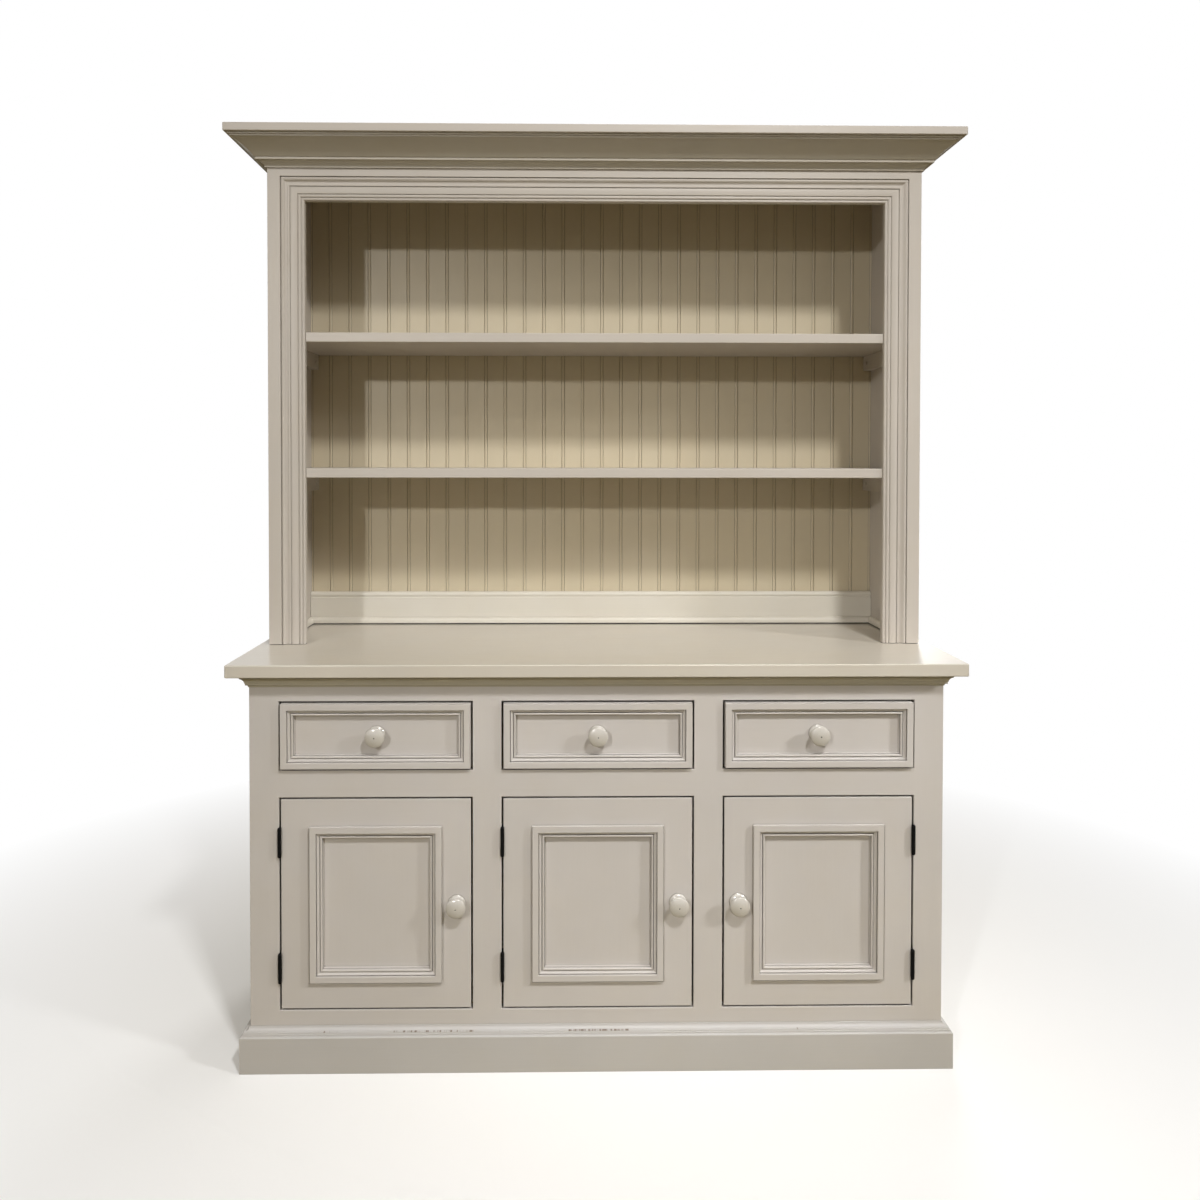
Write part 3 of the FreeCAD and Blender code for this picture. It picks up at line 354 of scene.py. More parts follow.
class NodeSheet:
    """A material's nodes, with short ways to add and wire them."""

    def __init__(self, name: str) -> None:
        """Start a material that holds a shader and an output."""
        self.material: Material = bpy.data.materials.new(name)
        self.material.use_nodes = True
        self.nodes = self.material.node_tree.nodes
        self.links = self.material.node_tree.links
        self.nodes.clear()
        self.shader = self.add("ShaderNodeBsdfPrincipled")
        self.output = self.add("ShaderNodeOutputMaterial")
        self.links.new(self.shader.outputs["BSDF"], self.output.inputs["Surface"])

    def add(self, kind: str, **settings: object) -> Node:
        """Add a node and set its properties."""
        node = self.nodes.new(kind)
        for key, value in settings.items():
            setattr(node, key, value)
        return node

    def set(self, socket: str, value: object) -> None:
        """Set or wire one socket of the shader."""
        target = self.shader.inputs[socket]
        if isinstance(value, NodeSocket):
            self.links.new(value, target)
        else:
            target.default_value = value

    def place(self, stretch: Point, shift: Point = (0.0, 0.0, 0.0)) -> NodeSocket:
        """The piece's own coordinates, stretched.

        Args:
            stretch: How many pattern units there are to a metre along each axis.
            shift: How far the pattern is moved, in pattern units.

        Returns:
            A vector socket.
        """
        source = self.add("ShaderNodeTexCoord")
        mapping = self.add("ShaderNodeMapping")
        mapping.inputs["Scale"].default_value = stretch
        mapping.inputs["Location"].default_value = shift
        self.links.new(source.outputs["Object"], mapping.inputs["Vector"])
        return mapping.outputs["Vector"]

    def noise(self, vector: NodeSocket, detail: float = 3.0, rough: float = 0.5) -> NodeSocket:
        """Cloudy noise from 0 to 1 over a vector."""
        node = self.add("ShaderNodeTexNoise")
        node.inputs["Scale"].default_value = 1.0
        node.inputs["Detail"].default_value = detail
        node.inputs["Roughness"].default_value = rough
        self.links.new(vector, node.inputs["Vector"])
        return node.outputs["Fac"]

    def ramp(self, value: NodeSocket, stops: list[tuple[float, Colour]]) -> NodeSocket:
        """Colours picked by a value, with straight steps between the stops."""
        node = self.add("ShaderNodeValToRGB")
        elements = node.color_ramp.elements
        while len(elements) < len(stops):
            elements.new(0.5)
        for element, (at, colour) in zip(elements, stops):
            element.position = at
            element.color = (*colour, 1.0)
        self.links.new(value, node.inputs["Fac"])
        return node.outputs["Color"]

    def span(self, value: NodeSocket, source: Pair, target: Pair) -> NodeSocket:
        """A value carried from one range to another, and held at its ends."""
        node = self.add("ShaderNodeMapRange", clamp=True)
        for side, ends in (("From", source), ("To", target)):
            for limit, end in zip(("Min", "Max"), ends):
                node.inputs[f"{side} {limit}"].default_value = end
        self.links.new(value, node.inputs["Value"])
        return node.outputs["Result"]

    def blend(
        self, amount: NodeSocket | float, under: NodeSocket, over: NodeSocket | Colour,
        how: str = "MIX",
    ) -> NodeSocket:
        """Lay one colour over another.

        Args:
            amount: How much of the upper colour shows.
            under: The lower colour.
            over: The upper colour, or a plain one.
            how: The way the two are mixed.

        Returns:
            A colour socket.
        """
        node = self.add("ShaderNodeMix", data_type="RGBA", blend_type=how)
        factor, first, second = node.inputs[0], node.inputs[6], node.inputs[7]
        if isinstance(amount, NodeSocket):
            self.links.new(amount, factor)
        else:
            factor.default_value = amount
        self.links.new(under, first)
        if isinstance(over, NodeSocket):
            self.links.new(over, second)
        else:
            second.default_value = (*over, 1.0)
        return node.outputs[2]

    def maths(
        self, operation: str, first: NodeSocket, second: NodeSocket | float
    ) -> NodeSocket:
        """One sum on two values."""
        node = self.add("ShaderNodeMath", operation=operation)
        self.links.new(first, node.inputs[0])
        if isinstance(second, NodeSocket):
            self.links.new(second, node.inputs[1])
        else:
            node.inputs[1].default_value = second
        return node.outputs["Value"]

    def openness(self, reach: float, inside: bool = False) -> NodeSocket:
        """How open a point is within a short reach.

        Args:
            reach: How far it looks.
            inside: Look into the piece, which finds its outer edges instead of its corners.

        Returns:
            A value socket, from 0 when closed in to 1 when open.
        """
        node = self.add("ShaderNodeAmbientOcclusion", samples=16, inside=inside, only_local=inside)
        node.inputs["Distance"].default_value = reach
        return node.outputs["AO"]

    def veil(
        self, tone: NodeSocket, value: NodeSocket, source: Pair, target: Pair, over: Colour,
        how: str = "MIX",
    ) -> NodeSocket:
        """Lay a plain colour over a tone where a value lies in a range.

        Args:
            tone: The lower colour.
            value: What decides how much of the plain colour shows.
            source: The value's range.
            target: How much of the colour shows at the ends of that range.
            over: The plain colour.
            how: The way the two are mixed.

        Returns:
            A colour socket.
        """
        return self.blend(self.span(value, source, target), tone, over, how)

    def relief(
        self, height: NodeSocket, depth: float, under: NodeSocket | None = None
    ) -> NodeSocket:
        """Turn a height from 0 to 1 into a bump of that many metres."""
        node = self.add("ShaderNodeBump")
        node.inputs["Strength"].default_value = 1.0
        node.inputs["Distance"].default_value = depth
        self.links.new(height, node.inputs["Height"])
        if under is not None:
            self.links.new(under, node.inputs["Normal"])
        return node.outputs["Normal"]


def shaded(colour: Colour, by: float) -> Colour:
    """A colour made darker or lighter."""
    return tuple(min(1.0, part * by) for part in colour)


def along(axis: Axis, length: float, across: float) -> Point:
    """Pattern units to a metre: few along a board's length and many across it."""
    return tuple(length if i == axis.value else across for i in range(3))


@dataclass(frozen=True)
class Finish:
    """What a surface is made of or painted with.

    Attributes:
        name: The finish's name, which its materials begin with.
        slot: The record's material slot; not used.
        colour: Its middle colour, linear.
    """

    name: str
    slot: str
    colour: Colour

    def material(self, axis: Axis) -> Material:
        """The material whose strokes or grain run along an axis, made once."""
        title = f"{self.name}_{axis.name.lower()}"
        made = bpy.data.materials.get(title)
        if made is None:
            sheet = NodeSheet(title)
            self.lay(sheet, axis)
            made = sheet.material
        return made

    def lay(self, sheet: NodeSheet, axis: Axis) -> None:
        """Build the material's nodes."""
        raise NotImplementedError


@dataclass(frozen=True)
class Paint(Finish):
    """Brushed satin paint, with painted shade and some soil in its corners and gaps, and paler
    edges.

    Attributes:
        roughness: The paint's middle roughness.
        stroke_depth: How deep the brush strokes are.
        peel_depth: How deep the paint's fine unevenness is.
        soil_and_shade: The colour that corners and quirks turn to, painted shade with a little
            soil.
        soil_and_shade_reach: How far the painted shade and soil spread from a corner.
        soil_and_shade_share: How strongly a closed corner is darkened.
        gap_shade: The painted shade deep in narrow gaps and quirks.
        gap_shade_reach: How far across a gap may be and still get the painted shade.
        wear_and_highlight: How much paler the outer edges are, a painted highlight with some
            rubbing.
        wear_and_highlight_reach: How far the paler edge spreads from an edge.
        sheen_coat: How strong the clear top layer is.
        coat_roughness: The clear layer's roughness.
    """

    roughness: float = 0.46
    stroke_depth: float = 0.035 * MM
    peel_depth: float = 0.012 * MM
    soil_and_shade: Colour = (0.20, 0.165, 0.12)
    soil_and_shade_reach: float = 2.2 * MM
    soil_and_shade_share: float = 0.42
    gap_shade: Colour = (0.022, 0.017, 0.011)
    gap_shade_reach: float = 11 * MM
    wear_and_highlight: float = 1.2
    wear_and_highlight_reach: float = 1.2 * MM
    sheen_coat: float = 0.0
    coat_roughness: float = 0.07

    def lay(self, sheet: NodeSheet, axis: Axis) -> None:
        """Build the material's nodes."""
        broad = sheet.noise(sheet.place((2.6, 2.6, 2.6)), detail=4.0, rough=0.55)
        tone = sheet.ramp(
            broad, [(0.32, shaded(self.colour, 0.955)), (0.68, shaded(self.colour, 1.03))]
        )
        warm = sheet.noise(sheet.place((9.0, 9.0, 9.0), (3.1, 7.7, 1.3)), detail=2.0)
        tone = sheet.veil(tone, warm, (0.4, 0.75), (0.0, 0.22), (1.0, 0.955, 0.87), "MULTIPLY")
        strokes = sheet.noise(sheet.place(along(axis, 9.0, 520.0)), detail=2.5, rough=0.6)
        streak = shaded((1.0, 0.985, 0.96), 0.93)
        tone = sheet.veil(tone, strokes, (0.35, 0.7), (0.0, 0.16), streak, "MULTIPLY")
        # Outer edges paler: a painted highlight for light caught by the arrises, with some rubbed
        # paint.
        edge = sheet.openness(self.wear_and_highlight_reach, inside=True)
        tone = sheet.veil(tone, edge, (0.35, 0.8), (0.75, 0.0), shaded(self.colour, self.wear_and_highlight))
        # Corners darker: painted shade, with a little soil.
        room = sheet.openness(self.soil_and_shade_reach)
        tone = sheet.veil(tone, room, (0.3, 0.85), (self.soil_and_shade_share, 0.0), self.soil_and_shade)
        # Near-black painted shade deep in narrow quirks and gaps.
        tone = sheet.veil(tone, room, (0.1, 0.34), (0.92, 0.0), self.gap_shade)
        slit = sheet.openness(self.gap_shade_reach)
        tone = sheet.veil(tone, slit, (0.12, 0.36), (0.96, 0.0), self.gap_shade)
        tone = self.marked(sheet, tone)
        sheet.set("Base Color", tone)
        sheet.set(
            "Roughness",
            sheet.span(strokes, (0.3, 0.7), (self.roughness - 0.06, self.roughness + 0.06)),
        )
        if self.sheen_coat > 0:
            sheet.set("Coat Weight", self.sheen_coat)
            sheet.set("Coat Roughness", self.coat_roughness)
        peel = sheet.noise(sheet.place((620.0, 620.0, 620.0)), detail=1.0)
        fine = sheet.relief(peel, self.peel_depth)
        sheet.set("Normal", sheet.relief(strokes, self.stroke_depth, fine))

    def marked(self, sheet: NodeSheet, tone: NodeSocket) -> NodeSocket:
        """Add marks that only some coats have; a plain coat has none."""
        return tone


@dataclass(frozen=True)
class CrackedPaint(Paint):
    """Paint that has cracked in short brown dashes along one level line.

    Attributes:
        line: The height of the cracked line.
        half_width: Half the height of a crack.
        crack: The colour in the cracks.
        half_run: Half the length of the cracked line.
        cracked: Places along X, and how cracked the line is there, from 0 to 1.
    """

    line: float = 84.3 * MM
    half_width: float = 0.65 * MM
    crack: Colour = (0.15, 0.105, 0.07)
    half_run: float = 0.75
    cracked: tuple[Pair, ...] = (
        (-0.60, 0.0), (-0.588, 0.75), (-0.561, 0.75), (-0.548, 0.0), (-0.45, 0.0), (-0.435, 0.8),
        (-0.27, 0.8), (-0.255, 0.1), (-0.075, 0.1), (-0.06, 1.0), (0.067, 1.0), (0.082, 0.1),
        (0.42, 0.1), (0.427, 0.9), (0.432, 0.9), (0.44, 0.0), (0.75, 0.2),
    )

    def marked(self, sheet: NodeSheet, tone: NodeSocket) -> NodeSocket:
        """Lay the dashes along the line."""
        source = sheet.add("ShaderNodeTexCoord")
        parts = sheet.add("ShaderNodeSeparateXYZ")
        sheet.links.new(source.outputs["Object"], parts.inputs["Vector"])
        off = sheet.maths("ABSOLUTE", sheet.maths("SUBTRACT", parts.outputs["Z"], self.line), 0.0)
        near = sheet.span(off, (self.half_width * 0.55, self.half_width), (1.0, 0.0))
        run = sheet.span(parts.outputs["X"], (-self.half_run, self.half_run), (0.0, 1.0))
        stops = [(0.5 + x / (2 * self.half_run), (share,) * 3) for x, share in self.cracked]
        groups = sheet.ramp(run, stops)
        dashes = sheet.noise(sheet.place((85.0, 0.0, 0.0), (0.4, 0.0, 0.0)), detail=2.0, rough=0.7)
        dense = sheet.span(groups, (0.0, 1.0), (0.0, 0.22))
        open_here = sheet.span(sheet.maths("ADD", dashes, dense), (0.66, 0.76), (0.0, 0.85))
        return sheet.blend(sheet.maths("MULTIPLY", near, open_here), tone, self.crack)


@dataclass(frozen=True)
class BareWood(Finish):
    """Planed timber without a finish.

    Attributes:
        late: The colour of the dark growth rings.
        ring: The usual distance between rings on a face.
        wander: How far the rings wander from straight.
        corner_shade_reach: How far the painted corner shade spreads from a corner.
        fibre_depth: How deep the wood's fibres are.
    """

    late: Colour = (0.38, 0.22, 0.10)
    ring: float = 8 * MM
    wander: float = 5.0
    corner_shade_reach: float = 8 * MM
    fibre_depth: float = 0.05 * MM

    def lay(self, sheet: NodeSheet, axis: Axis) -> None:
        """Build the material's nodes."""
        bands = sheet.add("ShaderNodeTexWave", wave_type="RINGS", wave_profile="SAW")
        bands.rings_direction = axis.name
        bands.inputs["Scale"].default_value = 0.05 / self.ring
        bands.inputs["Distortion"].default_value = self.wander
        bands.inputs["Detail"].default_value = 2.0
        bands.inputs["Detail Scale"].default_value = 0.35
        place = sheet.place(along(axis, 0.9, 6.0), (0.37, 0.21, 0.53))
        sheet.links.new(place, bands.inputs["Vector"])
        middling = shaded(self.colour, 0.93)
        stops = [(0.0, self.colour), (0.62, middling), (0.9, self.late), (1.0, self.colour)]
        tone = sheet.ramp(bands.outputs["Fac"], stops)
        broad = sheet.noise(sheet.place((5.0, 5.0, 5.0)), detail=3.0)
        tone = sheet.veil(tone, broad, (0.3, 0.7), (0.0, 0.5), shaded(self.colour, 1.04))
        fibre = sheet.noise(sheet.place(along(axis, 14.0, 900.0)), detail=3.0, rough=0.65)
        tone = sheet.veil(tone, fibre, (0.45, 0.8), (0.0, 0.45), (0.80, 0.70, 0.56), "MULTIPLY")
        # Corners darker: painted shade.
        room = sheet.openness(self.corner_shade_reach)
        tone = sheet.veil(tone, room, (0.3, 0.85), (0.5, 0.0), shaded(self.late, 0.45))
        sheet.set("Base Color", tone)
        sheet.set("Roughness", sheet.span(fibre, (0.3, 0.7), (0.52, 0.68)))
        sheet.set("Normal", sheet.relief(fibre, self.fibre_depth))


@dataclass(frozen=True)
class Metal(Finish):
    """Iron or steel, painted or bare.

    Attributes:
        metallic: 1 for bare metal, 0 for a painted one.
        roughness: The metal's middle roughness.
        shine: How strongly it mirrors light.
        pits: How deep its small pits are.
    """

    metallic: float = 0.0
    roughness: float = 0.5
    shine: float = 0.5
    pits: float = 0.03 * MM

    def lay(self, sheet: NodeSheet, axis: Axis) -> None:
        """Build the material's nodes."""
        cloud = sheet.noise(sheet.place((240.0, 240.0, 240.0)), detail=4.0, rough=0.6)
        tone = sheet.ramp(
            cloud, [(0.35, shaded(self.colour, 0.7)), (0.65, shaded(self.colour, 1.35))]
        )
        scuff = sheet.noise(sheet.place(along(axis, 160.0, 900.0)), detail=2.0)
        tone = sheet.veil(tone, scuff, (0.62, 0.8), (0.0, 0.3), shaded(self.colour, 3.2))
        sheet.set("Base Color", tone)
        sheet.set("Metallic", self.metallic)
        sheet.set("Specular IOR Level", self.shine)
        sheet.set(
            "Roughness",
            sheet.span(cloud, (0.3, 0.7), (self.roughness - 0.1, self.roughness + 0.1)),
        )
        sheet.set("Normal", sheet.relief(cloud, self.pits))


CASE_PAINT = Paint("case_paint", "cream_paint", (0.549, 0.519, 0.497), soil_and_shade_share=0.55)
HUTCH_PAINT = Paint("hutch_paint", "cream_paint", (0.542, 0.499, 0.45), soil_and_shade_share=0.5)
# A darker, yellower copy of the cream paint, darkened far into its hollow: painted shade under the
# counter's overhang.
BED_SHADE_PAINT = Paint(
    "bed_paint", "cream_paint", (0.44, 0.405, 0.32), soil_and_shade=(0.05, 0.043, 0.026),
    soil_and_shade_reach=26 * MM, soil_and_shade_share=0.9,
)
BACK_PAINT = Paint("back_paint", "cream_paint", (0.585, 0.512, 0.372))
# A darker, yellower copy of the cream paint for the cornice: painted shade for the shade it hangs
# in.
CROWN_SHADE_PAINT = Paint("crown_paint", "cream_paint", (0.480, 0.441, 0.373))
TRIM_PAINT = Paint("trim_paint", "cream_paint", (0.67, 0.635, 0.56))
PLINTH_PAINT = CrackedPaint("plinth_paint", "cream_paint", (0.50, 0.485, 0.475))
COUNTER_PAINT = Paint(
    "counter_paint", "counter_paint", (0.595, 0.554, 0.486), roughness=0.34, sheen_coat=0.3
)
# On the knob the corner darkening reaches far into the waist: painted shade in the crease between
# head and foot.
KNOB_PAINT = Paint(
    "knob_paint", "knob_paint", (0.53, 0.503, 0.463), roughness=0.3, soil_and_shade=(0.12, 0.105, 0.08),
    soil_and_shade_reach=12 * MM, soil_and_shade_share=0.85, sheen_coat=0.9,
)
PINE = BareWood("bare_pine", "raw_pine", (0.66, 0.47, 0.28))
PLY = BareWood(
    "ply_face", "plywood", (0.64, 0.48, 0.31), late=(0.58, 0.425, 0.265), ring=60 * MM, wander=16.0
)
IRON = Metal("black_iron", "black_iron", (0.004, 0.004, 0.0043), roughness=0.5, shine=0.08)
STEEL = Metal("screw_steel", "screw_steel", (0.26, 0.25, 0.235), metallic=1.0, roughness=0.38)


def dress(piece: Object, finish: Finish, body: str, grain: Axis | None = None) -> Object:
    """Give a piece its finish and the body it moves with.

    Args:
        piece: A finished shape.
        finish: What it is painted with or made of.
        body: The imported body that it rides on.
        grain: The stroke's or grain's direction; without one, each solid's own length gives it.

    Returns:
        The piece.
    """
    mesh = piece.data
    mesh.materials.clear()
    axes: list[Axis] = []
    for faces in islands(mesh):
        axis = grain or long_axis(mesh, faces)
        if axis not in axes:
            axes.append(axis)
            mesh.materials.append(finish.material(axis))
        for number in faces:
            mesh.polygons[number].material_index = axes.index(axis)
    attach(piece, body)
    log.info("%s: %s, %d faces, on %s", piece.name, finish.name, len(mesh.polygons), body)
    return piece


@dataclass(frozen=True)
class Softened:
    """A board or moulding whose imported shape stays, with eased edges and a finish.

    Attributes:
        node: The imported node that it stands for.
        finish: Its finish.
        arris: How far its edges are rounded.
        grain: The direction of its strokes or grain, where its length doesn't give it.
        sharp: Edges that turn by more than this many degrees are rounded.
    """

    node: str
    finish: Finish
    arris: float
    grain: Axis | None = None
    sharp: float = 40.0

    def build(self, body: str) -> Object:
        """Make the piece and put it in place of its node."""
        piece = cad_copy(self.node, f"{self.node}_dressed")
        ease(piece, self.arris, self.sharp)
        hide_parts(self.node)
        return dress(piece, self.finish, body, self.grain)


@dataclass(frozen=True)
class FlatFrame:
    """Stiles and rails flush under one coat of paint, with openings between them.

    Attributes:
        name: The piece's name.
        outline: Its outer rectangle.
        openings: Rectangles that are cut out.
        front: The Y of its face.
        thick: Its thickness.
        arris: How far its edges are rounded.
        rails: Rectangles whose strokes run level; the rest run upright.
    """

    name: str
    outline: Rect
    openings: tuple[Rect, ...]
    front: float
    thick: float
    arris: float
    rails: tuple[Rect, ...]

    def cuts(self) -> tuple[list[float], list[float]]:
        """The upright and level lines along which the sheet is divided."""
        rects = self.openings + self.rails
        across = sorted({round(x, 6) for r in rects for x in (r.left, r.right)})
        upward = sorted({round(z, 6) for r in rects for z in (r.foot, r.top)})
        inside = self.outline
        return (
            [x for x in across if inside.left < x < inside.right],
            [z for z in upward if inside.foot < z < inside.top],
        )

    def build(self) -> Object:
        """Cut the frame from one sheet and give it its thickness."""
        out = self.outline
        middle = ((out.left + out.right) / 2, self.front, (out.foot + out.top) / 2)
        size = (out.right - out.left, out.top - out.foot)
        piece = flat_sheet(self.name, size, middle, upright=True)
        across, upward = self.cuts()
        with editing(piece):
            for x in across:
                bpy.ops.mesh.select_all(action="SELECT")
                bpy.ops.mesh.bisect(plane_co=(x, 0.0, 0.0), plane_no=(1.0, 0.0, 0.0))
            for z in upward:
                bpy.ops.mesh.select_all(action="SELECT")
                bpy.ops.mesh.bisect(plane_co=(0.0, 0.0, z), plane_no=(0.0, 0.0, 1.0))
            choose_faces(
                piece, lambda at, normal: any(r.holds(at.x, at.z) for r in self.openings)
            )
            bpy.ops.mesh.delete(type="FACE")
        worked(piece, "SOLIDIFY", thickness=self.thick, offset=-1.0)
        outward(piece)
        ease(piece, self.arris, segments=3)
        return piece

    def paint(self, piece: Object, finish: Finish, body: str) -> Object:
        """Lay upright strokes on the stiles and level ones on the rails."""
        dress(piece, finish, body, Axis.Z)
        piece.data.materials.append(finish.material(Axis.X))
        for polygon in piece.data.polygons:
            at = polygon.center
            if any(rail.holds(at.x, at.z) for rail in self.rails):
                polygon.material_index = 1
        return piece


@dataclass(frozen=True)
class MitredRing:
    """A moulding mitred round a rectangle, of which some sides may be cut away.

    Attributes:
        node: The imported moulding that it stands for.
        section: Its closed section, as distances inwards and rises.
        low: The rectangle's lower corner, across and along.
        high: The rectangle's upper corner.
        seat: Where the section's rise starts.
        facing: The axis along which it rises: Y towards the front, or Z upwards.
        arris: How far its sharp edges are rounded.
        corner: How far its four outer corners are rounded.
    """

    node: str
    section: tuple[Pair, ...]
    low: Pair
    high: Pair
    seat: float
    facing: Axis
    arris: float = 0.3 * MM
    corner: float = 0.0

    def spot(self, across: float, up: float, rise: float) -> Vector:
        """A point given by its place on the rectangle and its rise."""
        if self.facing is Axis.Y:
            return Vector((across, self.seat - rise, up))
        return Vector((across, up, self.seat + rise))

    def build(self) -> Object:
        """Raise the section step by step round the rectangle."""
        middle = self.spot((self.low[0] + self.high[0]) / 2, (self.low[1] + self.high[1]) / 2, 0.0)
        half = ((self.high[0] - self.low[0]) / 2, (self.high[1] - self.low[1]) / 2)
        upright = self.facing is Axis.Y
        lift = self.spot(0.0, 0.0, 1.0) - self.spot(0.0, 0.0, 0.0)
        inset, rise = self.section[0]
        start = (2 * (half[0] - inset), 2 * (half[1] - inset))
        piece = flat_sheet(f"{self.node}_dressed", start, middle + lift * rise, upright)
        with editing(piece):
            bpy.ops.mesh.select_mode(type="FACE")
            for step in self.section[1:]:
                bpy.ops.mesh.extrude_region_move(
                    TRANSFORM_OT_translate={"value": lift * (step[1] - rise)}
                )
                wide, tall = ((size - step[0]) / (size - inset) for size in half)
                bpy.ops.transform.resize(
                    value=(wide, 1.0, tall) if upright else (wide, tall, 1.0),
                    center_override=middle,
                )
                inset, rise = step
            choose_faces(piece, lambda at, normal: self.covers_middle(at, middle))
            bpy.ops.mesh.delete(type="FACE")
        outward(piece)
        if self.corner > 0:
            self.round_corners(piece, middle, half)
        return piece

    def covers_middle(self, at: Vector, middle: Vector) -> bool:
        """Whether a face's middle lies over the middle of the rectangle."""
        off = at.z - middle.z if self.facing is Axis.Y else at.y - middle.y
        return abs(at.x - middle.x) < WELD and abs(off) < WELD

    def round_corners(self, piece: Object, middle: Vector, half: Pair) -> None:
        """Round the four outer corners of an upright ring."""
        with editing(piece):
            bpy.ops.mesh.select_mode(type="EDGE")
            bpy.ops.mesh.select_all(action="DESELECT")
            cage = bmesh.from_edit_mesh(piece.data)
            for edge in cage.edges:
                ends = [vertex.co - middle for vertex in edge.verts]
                if all(
                    abs(abs(end.x) - half[0]) < WELD and abs(abs(end.z) - half[1]) < WELD
                    for end in ends
                ):
                    edge.select_set(True)
            bmesh.update_edit_mesh(piece.data)
            bpy.ops.mesh.bevel(offset=self.corner, segments=4, affect="EDGES")

    def finish(self, piece: Object, paint: Paint, body: str) -> Object:
        """Ease the edges, paint each side along its length and take the node's place."""
        ease(piece, self.arris)
        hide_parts(self.node)
        dress(piece, paint, body, Axis.X)
        upright = self.facing is Axis.Y
        piece.data.materials.append(paint.material(Axis.Z if upright else Axis.Y))
        for polygon in piece.data.polygons:
            at = polygon.center
            beside = min(at.x - self.low[0], self.high[0] - at.x)
            up = at.z if upright else at.y
            if beside < min(up - self.low[1], self.high[1] - up):
                polygon.material_index = 1
        return piece


PANEL_MOULDING: Profile = (
    (0.0, 0.86), (0.03, 0.96, 0.09, 1.0), (0.46, 0.98), (0.505, 0.96, 0.515, 0.91), (0.515, 0.62),
    (0.555, 0.62), (0.555, 0.74), (0.60, 0.74), (0.665, 0.58, 0.75, 0.52), (0.75, 0.34),
    (0.785, 0.34), (0.785, 0.50), (0.86, 0.66, 0.945, 0.50), (0.945, 0.20), (0.97, 0.20),
    (0.97, 0.32), (1.0, 0.30), (1.0, 0.0),
)
PANEL_WIDTH = 28 * MM
# How deep the step is that laps the door's frame
PANEL_STEP = 9 * MM
PANEL_ARRIS = 0.22 * MM
PANEL_CORNER = 2.6 * MM


def panel_moulding(node: str, outer: Rect, lap: float) -> Object:
    """Model the moulding round a door's or drawer's field.

    Args:
        node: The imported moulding.
        outer: Its outer rectangle.
        lap: How far it laps the door's frame; nought on a drawer.

    Returns:
        The painted ring.
    """
    low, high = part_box(node)
    section = outline(PANEL_MOULDING, PANEL_WIDTH, high.y - low.y)
    if lap > 0:
        section += [(lap, 0.0), (lap, PANEL_STEP), (0.0, PANEL_STEP)]
    else:
        section.append((0.0, 0.0))
    section.append(section[0])
    ring = MitredRing(
        node, tuple(section), (outer.left, outer.foot), (outer.right, outer.top), high.y, Axis.Y,
        PANEL_ARRIS, PANEL_CORNER,
    )
    return ring.finish(ring.build(), CASE_PAINT, node.removesuffix("_moulding"))


def trim_ring(
    node: str, shares: Profile, size: Pair, low: Pair, high: Pair, seat: float, facing: Axis,
    paint: Paint, cut: tuple[Vector, Vector], arris: float = 0.3 * MM,
) -> Object:
    """Model a mitred trim that runs round three sides.

    Args:
        node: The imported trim.
        shares: Its section, as shares of its width and rise; a negative width grows outwards.
        size: Its width and rise.
        low: The lower corner of the rectangle that it follows, of which one side is cut away.
        high: The upper corner.
        seat: Where its rise starts.
        facing: The axis along which it rises.
        paint: Its paint.
        cut: A point on the plane that cuts it, and the direction that is cut away.
        arris: How far its edges are rounded.

    Returns:
        The painted trim.
    """
    section = outline(shares, *size)
    section.append(section[0])
    ring = MitredRing(node, tuple(section), low, high, seat, facing, arris)
    piece = ring.build()
    cut_off(piece, *cut)
    return ring.finish(piece, paint, "cupboard")


@dataclass(frozen=True)
class Knob:
    """A turned knob with a foot, a waist and a flat-domed head with a small sunk centre.

    Attributes:
        profile: Radius and distance from the wood, in millimetres, from foot to middle.
        steps: How many flats go round.
    """

    profile: Profile = (
        (18.2, 0.0), (18.9, 0.5), (19.1, 1.6), (18.9, 2.8), (18.0, 4.2), (16.0, 5.6), (13.6, 7.0),
        (11.8, 8.6), (11.2, 10.4), (11.6, 12.2), (13.2, 14.0), (15.8, 15.8), (18.4, 17.4),
        (20.2, 19.0), (21.0, 20.6), (21.2, 21.8), (20.9, 23.0), (20.2, 24.0), (18.8, 25.0),
        (16.4, 26.1), (13.2, 27.2), (9.6, 28.1), (6.0, 28.65), (3.0, 28.9), (1.7, 28.95),
        (1.35, 28.7), (1.25, 27.3), (1.2, 25.5), (0.0, 25.3),
    )
    steps: int = 56

    def build(self, name: str, node: str, mount_y: float) -> Object:
        """Turn a knob on the middle of a packed one.

        Args:
            name: The new piece's name.
            node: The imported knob.
            mount_y: The Y of the face that it stands on.

        Returns:
            The knob, unpainted.
        """
        at = Rect.of_node(node)
        centre = Vector(((at.left + at.right) / 2, mount_y, (at.foot + at.top) / 2))
        piece = flat_sheet(name, (MM, MM), (0.0, 0.0, 0.0))
        points = [centre + Vector((r * MM, -out * MM, 0.0)) for r, out in self.profile]
        with editing(piece):
            bpy.ops.mesh.merge(type="CENTER")
            bpy.ops.transform.translate(value=points[0])
            for here, there in zip(points, points[1:]):
                bpy.ops.mesh.extrude_vertices_move(
                    TRANSFORM_OT_translate={"value": there - here}
                )
            bpy.ops.mesh.select_all(action="SELECT")
            bpy.ops.mesh.spin(
                steps=self.steps, angle=FULL_TURN, center=centre, axis=(0.0, 1.0, 0.0)
            )
        outward(piece)
        ease(piece, 0.0)
        return piece

    def mount(self, body: str, face: str) -> Object:
        """Stand a painted knob on a body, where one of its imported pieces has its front."""
        node = f"{body}_knob"
        knob = self.build(f"{node}_dressed", node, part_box(face)[0].y)
        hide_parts(node)
        return dress(knob, KNOB_PAINT, body, Axis.Y)


